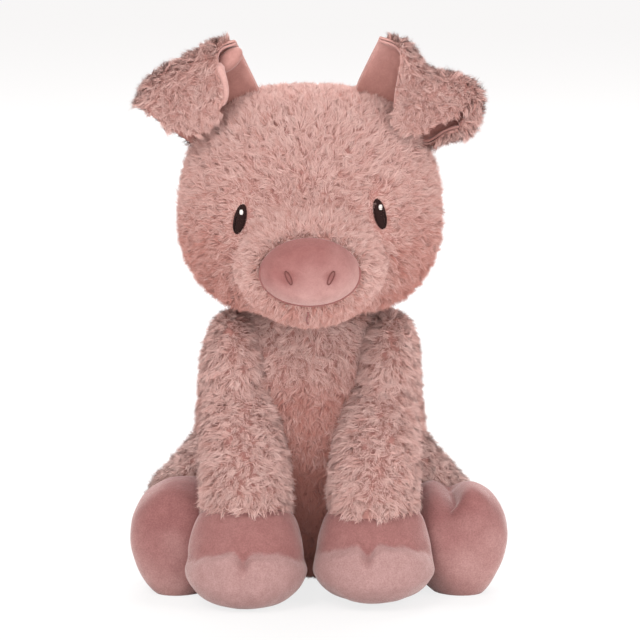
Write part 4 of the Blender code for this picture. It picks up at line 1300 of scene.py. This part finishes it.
def hind_frame(side):
    hip = placed(sided(HIP_PLACE, side))
    return hip @ Matrix.Rotation(side * HAUNCH_TURN, 4, "Z") @ FACING_FRONT


def moved(points, matrix):
    flat = np.column_stack((points, np.ones(len(points))))
    return (matrix @ flat.T).T[:, :3]


def in_frame(points, frame_matrix):
    """World points as points of a frame."""
    return moved(points, np.linalg.inv(np.array(frame_matrix)))


def out_of_frame(points, frame_matrix):
    return moved(points, np.array(frame_matrix))


def front_leg(word, side):
    """A hanging leg that grows out of its round shoulder."""
    leg_form = swelled(f"leg_form_{word}", (-LEG_WIDTH / 2, -LEG_DEPTH / 2, LEG_LOW_Z),
                       (LEG_WIDTH / 2, LEG_BACK_REACH, LEG_HIGH_Z), LEG_RINGS,
                       placed((side * LEG_X, LEG_Y, 0)),
                       [side * share for share in LEG_SPREAD], LIMB_SEGMENTS, PILE_DEPTH)
    radius = SHOULDER_RADIUS - PILE_DEPTH
    ball = ellipsoid(f"shoulder_form_{word}", sided(SHOULDER_PLACE, side),
                     (SHOULDER_HALF_WIDTH - PILE_DEPTH, radius, radius))
    leg = fused(f"front_leg_base_{word}", [leg_form, ball], LIMB_VOXEL, LEG_SMOOTHING)
    raise_shoulders(leg)
    dress(leg, BASE, f"front_leg_{word}", "long_pile_plush", f"front_leg_cover_{word}",
          f"front_leg_filling_{word}")
    return leg


def haunch(word, side):
    """A haunch that is drawn in towards its foot and rolls down at its outer side."""
    rolled = Matrix.Rotation(side * HAUNCH_ROLL, 4, "Z")
    form = swelled(f"haunch_form_{word}",
                   (-HAUNCH_WIDTH / 2, -HAUNCH_HEIGHT / 2, -HAUNCH_BEHIND),
                   (HAUNCH_WIDTH / 2, HAUNCH_HEIGHT / 2, HAUNCH_AHEAD), HAUNCH_RINGS,
                   hind_frame(side) @ rolled, segments=LIMB_SEGMENTS, inset=PILE_DEPTH)
    skin = fused(f"hind_leg_base_{word}", [form], LIMB_VOXEL, HAUNCH_SMOOTHING)
    local = in_frame(get_points(skin), hind_frame(side))
    past_ankle = local[:, 2] - HIND_ANKLE + HAUNCH_EASE
    past = np.clip(past_ankle / (HAUNCH_AHEAD - HIND_ANKLE), 0, 1)
    ahead = local[:, 2] > HIND_ANKLE - HAUNCH_EASE
    local[:, 2] -= np.where(ahead, HAUNCH_SHORTENING * past_ankle, 0)
    local[:, :2] *= np.sqrt(np.clip(1 - past ** 2, HAUNCH_LEAST_NARROWING, 1))[:, None]
    top = smoothstep(*HAUNCH_TOP_FADE, local[:, 1])
    outer = smoothstep(*HAUNCH_OUTER_FADE, side * local[:, 0])
    local[:, 1] += (HAUNCH_TOP_RISE - HAUNCH_OUTER_FALL * outer) * top
    local[:, 0] -= side * HAUNCH_TOP_INWARD * top
    set_points(skin, out_of_frame(local, hind_frame(side)))
    dress(skin, BASE, f"hind_leg_{word}", "long_pile_plush", f"hind_leg_cover_{word}",
          f"hind_leg_filling_{word}")
    return skin


leg_skins, haunch_skins = {}, {}
for word, side in SIDES:
    leg_skins[word] = front_leg(word, side)
    haunch_skins[word] = haunch(word, side)


# Feet

def front_foot(word, side):
    """A smooth foot whose toe puffs out under a wavy crease, pale where the nap turns and with
    painted sheen, with a dimple in it darkened by painted shade.
    """
    width, depth, height = FOOT_SIZE
    foot = swelled(f"front_foot_{word}", (-width / 2, -depth / 2, -FLOOR_PRESS),
                   (width / 2, depth / 2, height - FLOOR_PRESS), FOOT_RINGS,
                   placed((side * LEG_X, FOOT_Y + FOOT_SETBACKS[word], 0)),
                   segments=LIMB_SEGMENTS, levels=FOOT_LEVELS)
    points, normals = get_points(foot), get_normals(foot)
    x = points[:, 0] - side * LEG_X
    y = points[:, 1] - FOOT_Y
    z = points[:, 2]
    ahead = smoothstep(*FOOT_FADE_Y, y)
    edge = np.clip(np.abs(x) / (width / 2), 0, 1)
    from_cleft = x - CLEFT_PLACES[word]
    crease_z = CREASE_HEIGHTS[word] - CREASE_EDGE_DROP * edge ** EDGE_POWER
    crease_z -= CLEFT_DROP * np.exp(-(from_cleft / CLEFT_RADIUS) ** 2)
    crease_z += CREASE_WAVE * patch_field(points, CREASE_WAVE_SIZE)
    toe = smoothstep(crease_z + TOE_START, crease_z - TOE_FULL, z) * smoothstep(*TOE_FADE_Z, z)
    move = TOE_PUFF * toe * ahead * (1 - TOE_EDGE_LOSS * edge ** 2)
    from_crease = (z - crease_z - CREASE_DENT_RISE) / CREASE_DENT_RADIUS
    move -= CREASE_DENT * np.exp(-from_crease ** 2) * ahead
    from_dimple = z - CREASE_HEIGHTS[word] + DIMPLE_BELOW
    dimple = np.exp(-(from_cleft / DIMPLE_RADII[0]) ** 2 - (from_dimple / DIMPLE_RADII[1]) ** 2)
    move -= DIMPLE_DENT * dimple * ahead
    move += FOOT_UNEVENNESS * patch_field(points, FOOT_UNEVENNESS_SIZE)
    low = smoothstep(*SOLE_FADE_Z, z)
    points += move[:, None] * normals
    points[:, 2] += low * (SOLE_EDGE_RISE * edge ** EDGE_POWER + TOE_LIFTS[word] * ahead)
    points[:, 2] = np.maximum(points[:, 2], 0)
    set_points(foot, points)
    # Paler below the crease where the nap turns and with painted sheen, painted sheen on the
    # edges, painted shade in the dimple, and random patches
    fray = TOE_PALE_FRAY * patch_field(points, TOE_PALE_FRAY_SIZE)
    pale = smoothstep(*TOE_PALE_FADE, z - crease_z + fray)
    pale *= TOE_PALE_BEHIND + (1 - TOE_PALE_BEHIND) * ahead
    pale += FOOT_EDGE_PAINTED_SHEEN * smoothstep(*FOOT_EDGE_FADE, edge) * (1 - pale)
    pale += FOOT_PATCH * patch_field(points, FOOT_PATCH_SIZE) - DIMPLE_PAINTED_SHADE * dimple * ahead
    set_nap_and_painted_light(foot, pale)
    dress(foot, VELBOA, f"front_leg_{word}", "velboa", f"front_foot_cover_{word}")
    return foot


def hind_foot(word, side):
    """A smooth rounded foot that faces forward, dented where the haunch comes down on it."""
    width, height, length = HIND_FOOT_SIZE
    low_y = -HIP_PLACE[2] - FLOOR_PRESS
    foot = swelled(f"hind_foot_{word}", (-width / 2, low_y, HIND_FOOT_START),
                   (width / 2, low_y + height, HIND_FOOT_START + length), HIND_FOOT_RINGS,
                   hind_frame(side), segments=LIMB_SEGMENTS, levels=FOOT_LEVELS)
    points, normals = get_points(foot), get_normals(foot)
    local = in_frame(points, hind_frame(side))
    move = -ANKLE_DENT * bump_at(local, sided(ANKLE_DENT_PLACE, side), ANKLE_DENT_RADII)
    move += HIND_UNEVENNESS * patch_field(points, HIND_UNEVENNESS_SIZE)
    if side > 0:
        move -= NOTCH_DENT * bump_at(points, NOTCH_PLACE, NOTCH_RADII)
    points += move[:, None] * normals + np.array(HIND_FOOT_SHIFT)
    sole = bump_at(local, (0, low_y, HIND_SOLE_AHEAD), HIND_SOLE_RADII)
    points[:, 2] = np.maximum(points[:, 2] - HIND_SOLE_FALL * sole, 0)
    set_points(foot, points)
    # Painted sheen, paler low down and along the outer side; also a little paler on the right,
    # and random patches
    outward = side * local[:, 0] / (width / 2)
    pale = HIND_LOW_PAINTED_SHEEN * smoothstep(*HIND_LOW_FADE_Z, points[:, 2])
    pale += HIND_OUTER_PAINTED_SHEEN * smoothstep(*HIND_OUTER_FADE, outward)
    pale += HIND_SIDE_PALE * side + HIND_PATCH * patch_field(points, HIND_PATCH_SIZE)
    set_nap_and_painted_light(foot, pale)
    dress(foot, HIND_VELBOA, f"hind_leg_{word}", "velboa", f"hind_foot_cover_{word}")
    return foot


front_feet = {word: front_foot(word, side) for word, side in SIDES}
hind_feet = {word: hind_foot(word, side) for word, side in SIDES}


# Pile of the body

foot_trees = {word: tree_of(front_feet[word]) for word, side in SIDES}
hind_foot_trees = {word: tree_of(hind_feet[word]) for word, side in SIDES}


def downward(places, ups):
    return np.array((0, 0, -1.0)) + DOWN_COMB_UPS * ups


def body_length(places, ups):
    return BODY_PILE_LENGTH * smoothstep(*FLOOR_PILE_FADE_Z, places[:, 2]) + FLOOR_PILE_LENGTH


def torso_keep(places, ups):
    """None inside the head or on the seat."""
    from_neck = np.hypot(places[:, 0], places[:, 1] - TORSO_NECK_Y)
    inside_head = (places[:, 2] > TORSO_NECK_Z) & (from_neck < TORSO_NECK_RADIUS)
    return 1.0 * ~(inside_head | (places[:, 2] < TORSO_BARE_Z))


def torso_shade(places, ups):
    """Painted shade: darker and rosier on the chest and darker still down between the legs,
    eased by painted light at the top of the chest; as pale as the rest behind.
    """
    chest = smoothstep(*CHEST_FADE_Y, places[:, 1])
    between = smoothstep(*BETWEEN_FADE_Z, places[:, 2])
    between = between * smoothstep(*BETWEEN_FADE_X, abs(places[:, 0]))
    high = smoothstep(*CHEST_HIGH_FADE_Z, places[:, 2])
    depth = CHEST_PAINTED_SHADE + BETWEEN_LEGS_PAINTED_SHADE * between - CHEST_TOP_PAINTED_LIGHT * high
    return TORSO_SHADE - depth * chest


def haunch_comb(side):
    ahead = np.array((side * math.sin(HAUNCH_TURN), -math.cos(HAUNCH_TURN), 0))
    lay = HAUNCH_COMB_AHEAD * ahead + np.array((0, 0, -HAUNCH_COMB_DOWN))
    return lambda places, ups: lay


pile("torso_pile", "torso", torso_skin, SEEDS["torso"], body_length, downward, torso_keep,
     torso_shade)
for number, (word, side) in enumerate(SIDES):
    pile(f"front_leg_pile_{word}", f"front_leg_{word}", leg_skins[word],
         SEEDS["front_leg"] + number, body_length, downward, above(ANKLE_Z + ANKLE_BARE),
         constant(LEG_SHADE), avoid=[foot_trees[word]])
    pile(f"hind_leg_pile_{word}", f"hind_leg_{word}", haunch_skins[word],
         SEEDS["hind_leg"] + number, body_length, haunch_comb(side), above(HAUNCH_BARE_Z),
         constant(HAUNCH_PAINTED_LIGHT_TONE), avoid=[hind_foot_trees[word]])


# Ears

def softened(values):
    """A row of values with its corners rounded."""
    window = 2 * EAR_CORNER_SOFTENING + 1
    padded = np.pad(values.ravel(), EAR_CORNER_SOFTENING, mode="edge")
    return np.convolve(padded, np.ones(window) / window, mode="valid")[None, :]


def ear_outward(side):
    return np.array((side * math.sin(EAR_TURN), 0, math.cos(EAR_TURN)))


def ear_sheet(word, side):
    """Points of an ear's middle sheet: rows from root to edge, columns inner to outer."""
    outward = ear_outward(side)
    along = np.array((side * outward[2], 0, -abs(outward[0])))
    forward = np.array((0, -1.0, 0))
    across = np.linspace(-1, 1, EAR_COLUMNS)[None, :]
    share = np.linspace(0, 1, EAR_ROWS)[:, None]
    bend = (math.pi - EAR_FLARE) * EAR_BEND_RADIUS
    places, rises, turnovers = zip(*EAR_OUTLINES[word])
    stem = softened(np.interp(across, places, rises))
    run = share * (stem + softened(np.interp(across, places, turnovers)))
    angle = np.clip((run - stem) / EAR_BEND_RADIUS, 0, math.pi - EAR_FLARE)
    over = np.maximum(run - stem - bend, 0)
    rise = np.minimum(run, stem) + EAR_BEND_RADIUS * np.sin(angle)
    rise = rise - over * math.cos(EAR_FLARE)
    reach = EAR_BEND_RADIUS * (1 - np.cos(angle)) + over * math.sin(EAR_FLARE)
    reach += EAR_PUFF * np.sin(math.pi * np.clip(over / EAR_PUFF_RUN, 0, 1)) * (1 - across ** 2)
    growth = np.where(across < 0, *EAR_GROWTHS[word])
    sag = np.where(across < 0, *EAR_ROOT_SAGS)
    grown = smoothstep(0, EAR_ROOT_GROWN, run / np.maximum(stem, growth))
    rise -= (EAR_ROOT_SINK + sag * across ** 2) * (1 - grown)
    half = np.where(across < 0, *EAR_HALVES[word])
    root_half = np.where(across < 0, *EAR_ROOT_HALVES[word])
    half = root_half + (half - root_half) * np.clip(run / growth, 0, 1) ** EAR_GROWTH_POWER
    inner, outer = EAR_CURLS[word]
    curled = EAR_ROOT_CURLS[word] + (1 - EAR_ROOT_CURLS[word]) * grown
    turn = curled * outer * smoothstep(EAR_CURL_STARTS[word], 1.0, across)
    turn = turn - grown * inner * smoothstep(EAR_INNER_CURL_START, -1.0, across)
    step = 2 / (EAR_COLUMNS - 1)
    middle = EAR_COLUMNS // 2
    aside = np.cumsum(np.cos(turn) * step, axis=1)
    ahead = np.cumsum(np.sin(turn) * step, axis=1)
    aside = half * (aside - aside[:, middle:middle + 1])
    ahead = half * (ahead - ahead[:, middle:middle + 1])
    ripple = np.sin(EAR_WAVE_ACROSS * across + EAR_WAVE_ALONG * share + side)
    wave = EAR_WAVE * ripple * grown
    root = np.array(EAR_ROOT) * (side, 1, 1)
    grid = root + (aside - np.sin(turn) * reach)[..., None] * along
    grid = grid + rise[..., None] * outward
    return grid + (ahead + np.cos(turn) * reach + wave)[..., None] * forward


def sheet_normals(grid, side):
    return unit(np.cross(np.gradient(grid, axis=0), np.gradient(grid, axis=1))) * side


def ear_shell(name, side, grid, near, far):
    """A closed layer of an ear between two offsets from its middle sheet."""
    normals = sheet_normals(grid, side)
    points = np.concatenate((grid + near * normals, grid + far * normals)).reshape(-1, 3)
    faces = []
    size = EAR_ROWS * EAR_COLUMNS

    def quad(a, b, c, d):
        faces.append((a, b, c))
        faces.append((a, c, d))

    for row in range(EAR_ROWS - 1):
        for column in range(EAR_COLUMNS - 1):
            low = row * EAR_COLUMNS + column
            corner = (low, low + 1, low + EAR_COLUMNS + 1, low + EAR_COLUMNS)
            quad(*corner)
            quad(*(size + index for index in reversed(corner)))
    last = (EAR_ROWS - 1) * EAR_COLUMNS
    rim = (list(range(EAR_COLUMNS))
           + [row * EAR_COLUMNS + EAR_COLUMNS - 1 for row in range(1, EAR_ROWS)]
           + [last + column for column in range(EAR_COLUMNS - 2, -1, -1)]
           + [row * EAR_COLUMNS for row in range(EAR_ROWS - 2, 0, -1)])
    for first, second in zip(rim, rim[1:] + rim[:1]):
        quad(first, size + first, size + second, second)
    obj = link(name, mesh_from_arrays(name, points, np.array(faces)))
    bm = bmesh.new()
    bm.from_mesh(obj.data)
    bmesh.ops.recalc_face_normals(bm, faces=bm.faces)
    bm.to_mesh(obj.data)
    bm.free()
    obj.data.shade_smooth()
    return obj


def ear_face(name, side, grid, offset):
    """One open side of an ear as a surface to plant pile on."""
    faces = []
    for row in range(EAR_ROWS - 1):
        for column in range(EAR_COLUMNS - 1):
            low = row * EAR_COLUMNS + column
            high = low + EAR_COLUMNS
            if side > 0:
                faces += [(low, high, high + 1), (low, high + 1, low + 1)]
            else:
                faces += [(low, low + 1, high + 1), (low, high + 1, high)]
    points = (grid + offset * sheet_normals(grid, side)).reshape(-1, 3)
    return link(name, mesh_from_arrays(name, points, np.array(faces)))


def ear_comb(side):
    """Combed up the back of an ear, and down where its flap hangs in front."""
    def comb(places, ups):
        near, far = (EAR_ROOT[1] + step for step in EAR_COMB_FADE_Y)
        front = smoothstep(near, far, places[:, 1])[:, None]
        return ear_outward(side) * (1 - 2 * front) + np.array(sided(EAR_COMB_LAY, side))
    return comb


def ear_keep(word, hem_points, back_edge):
    """Pile everywhere but on the hem and the bare inner edge."""
    def keep(places, ups):
        clear_of_hem = least_distance(places, hem_points) > HEM_BARE_SHARE * HEM_RADII[word]
        clear_of_edge = least_distance(places, back_edge) > BACK_EDGES_BARE[word]
        return 1.0 * (clear_of_hem & clear_of_edge)
    return keep


for number, (word, side) in enumerate(SIDES):
    grid = ear_sheet(word, side)
    outside = EAR_LAYER_GAP + EAR_LAYER
    outer = ear_shell(f"ear_back_{word}", side, grid, EAR_LAYER_GAP, outside)
    lining = ear_shell(f"ear_front_{word}", side, grid, -outside, -EAR_LAYER_GAP)
    hem_columns = range(HEM_START, int(HEM_SHARE * EAR_COLUMNS))
    hem_path = [Vector(grid[-1, column]) for column in hem_columns]
    hem = tube(f"ear_hem_{word}", [hem_path], HEM_RADII[word], sides=HEM_SIDES, tip=HEM_TIP)
    pile_ground = ear_face(f"ear_ground_{word}", side, grid, outside)
    dress(hem, HEM, f"ear_{word}", "ear_lining")
    dress(outer, EAR_BASE, f"ear_{word}", "long_pile_plush", f"ear_outer_{word}")
    dress(lining, LINING, f"ear_{word}", "ear_lining", f"ear_lining_{word}")
    # The lining darkens towards its root as painted shade in the fold and pales towards its free
    # edge as painted light
    rows = np.arange(len(lining.data.vertices)) % (EAR_ROWS * EAR_COLUMNS) // EAR_COLUMNS
    set_nap_and_painted_light(lining, np.linspace(0, LINING_EDGE_PAINTED_LIGHT, EAR_ROWS)[rows])
    pile(f"ear_pile_{word}", f"ear_{word}", pile_ground, SEEDS["ear"] + number,
         constant(EAR_PILE_LENGTH), ear_comb(side),
         ear_keep(word, np.array(hem_path)[::3], grid[::2, 0]), constant(EAR_PILE_SHADE),
         spacing=EAR_PILE_SPACING)
    bpy.data.objects.remove(pile_ground)

roll_along = Vector((-math.cos(EAR_TURN), 0, -math.sin(EAR_TURN)))
roll_out = Vector((-math.sin(EAR_TURN), 0, math.cos(EAR_TURN)))
roll = ellipsoid("ear_roll_left", (0, 0, 0), ROLL_RADII)
roll.data.transform(Matrix.Rotation(EAR_TURN, 4, "Y").inverted())
roll.data.transform(placed(
    Vector(sided(EAR_ROOT, -1)) + ROLL_PLACE[0] * roll_along + ROLL_PLACE[2] * roll_out
    + Vector((0, -ROLL_PLACE[1], 0))))
roll.data.shade_smooth()
# Painted light on the rolled lining where it bulges out
set_nap_and_painted_light(roll, np.full(len(roll.data.vertices), ROLL_PAINTED_LIGHT))
dress(roll, LINING, "ear_left", "ear_lining")


# Tail

def tail_point(share):
    """A place along the tail: a straight stalk first, then a rising curl."""
    angle = math.tau * TAIL_TURNS * share
    return Vector(TAIL_PLACE) + Vector((
        TAIL_CURL_RADIUS * math.sin(angle), TAIL_STALK + TAIL_CURL_LENGTH * share,
        TAIL_CURL_RADIUS * (1 - math.cos(angle))))


tail_curve = bpy.data.curves.new("tail_fabric", "CURVE")
tail_curve.dimensions = "3D"
tail_curve.bevel_depth = TAIL_RADIUS
tail_curve.bevel_resolution = TAIL_ROUNDNESS
tail_curve.use_fill_caps = True
tail_line = tail_curve.splines.new("POLY")
tail_line.points.add(TAIL_STEPS)
tail_line.points[0].co = (*(Vector(TAIL_PLACE) - Vector((0, TAIL_SINK, 0))), 1)
for index in range(TAIL_STEPS):
    share = index / (TAIL_STEPS - 1)
    point = tail_line.points[index + 1]
    point.co = (*tail_point(share), 1)
    point.radius = 1 + (TAIL_TIP_SHARE - 1) * share
tail_guide = link("tail_guide", tail_curve)
tail = link("tail_fabric", evaluated_mesh(tail_guide))
bpy.data.objects.remove(tail_guide)
tail.data.shade_smooth()
dress(tail, TAIL_VELBOA, "tail", "velboa", "tail")


# Floor, light and camera

floor_mesh = bpy.data.meshes.new("floor")
bm = bmesh.new()
bmesh.ops.create_grid(bm, x_segments=1, y_segments=1, size=FLOOR_HALF)
bm.to_mesh(floor_mesh)
bm.free()
floor = link("floor", floor_mesh)
floor_material = bpy.data.materials.new("floor_pale")
floor_material.use_nodes = True
tree = floor_material.node_tree
shader = tree.nodes["Principled BSDF"]
shader.inputs["Base Color"].default_value = (FLOOR_VALUE, FLOOR_VALUE, FLOOR_VALUE, 1)
shader.inputs["Roughness"].default_value = 1
shader.inputs["Specular IOR Level"].default_value = 0
path = add_node(tree, "ShaderNodeLightPath")
glow = add_node(tree, "ShaderNodeEmission", {"Strength": 1})
share = add_node(tree, "ShaderNodeMath", {0: path.outputs["Is Camera Ray"], 1: FLOOR_GLOW_SHARE},
                 operation="MULTIPLY")
blend = add_node(tree, "ShaderNodeMixShader", {
    0: share.outputs[0], 1: shader.outputs["BSDF"], 2: glow.outputs["Emission"]})
tree.links.new(blend.outputs["Shader"], tree.nodes["Material Output"].inputs["Surface"])
floor.data.materials.append(floor_material)

world = bpy.data.worlds.new("studio")
bpy.context.scene.world = world
world.use_nodes = True
tree = world.node_tree
background = tree.nodes["Background"]
path = add_node(tree, "ShaderNodeLightPath")
seen = add_node(tree, "ShaderNodeMath", {
    0: path.outputs["Is Camera Ray"], 1: path.outputs["Is Glossy Ray"]}, operation="MAXIMUM")
strength = add_node(tree, "ShaderNodeMapRange", {
    "Value": seen.outputs[0], "To Min": WORLD_STRENGTH, "To Max": 1.0})
tree.links.new(strength.outputs["Result"], background.inputs["Strength"])
tree.links.new(mixed(tree, seen.outputs[0], WORLD_TINT, WHITE), background.inputs["Color"])


def area_lamp(name, place, aim, size, power):
    lamp = bpy.data.lights.new(name, "AREA")
    lamp.shape = "DISK"
    lamp.size = size
    lamp.energy = power
    obj = bpy.data.objects.new(name, lamp)
    bpy.context.scene.collection.objects.link(obj)
    obj.location = place
    obj.rotation_euler = (Vector(aim) - Vector(place)).to_track_quat("-Z", "Y").to_euler()
    return obj


for lamp in LAMPS:
    area_lamp(*lamp)

camera_data = bpy.data.cameras.new("camera")
camera = bpy.data.objects.new("camera", camera_data)
bpy.context.scene.collection.objects.link(camera)
camera_data.sensor_width = SENSOR
camera_data.lens = SENSOR * CAMERA_DISTANCE / (FRAME_PIXELS * PIXEL)
back = Vector((0, -math.cos(CAMERA_RISE), math.sin(CAMERA_RISE)))
camera.location = Vector(AIM) + CAMERA_DISTANCE * back
camera.rotation_euler = (-back).to_track_quat("-Z", "Y").to_euler()
bpy.context.scene.camera = camera
bpy.context.scene.view_settings.view_transform = "Standard"
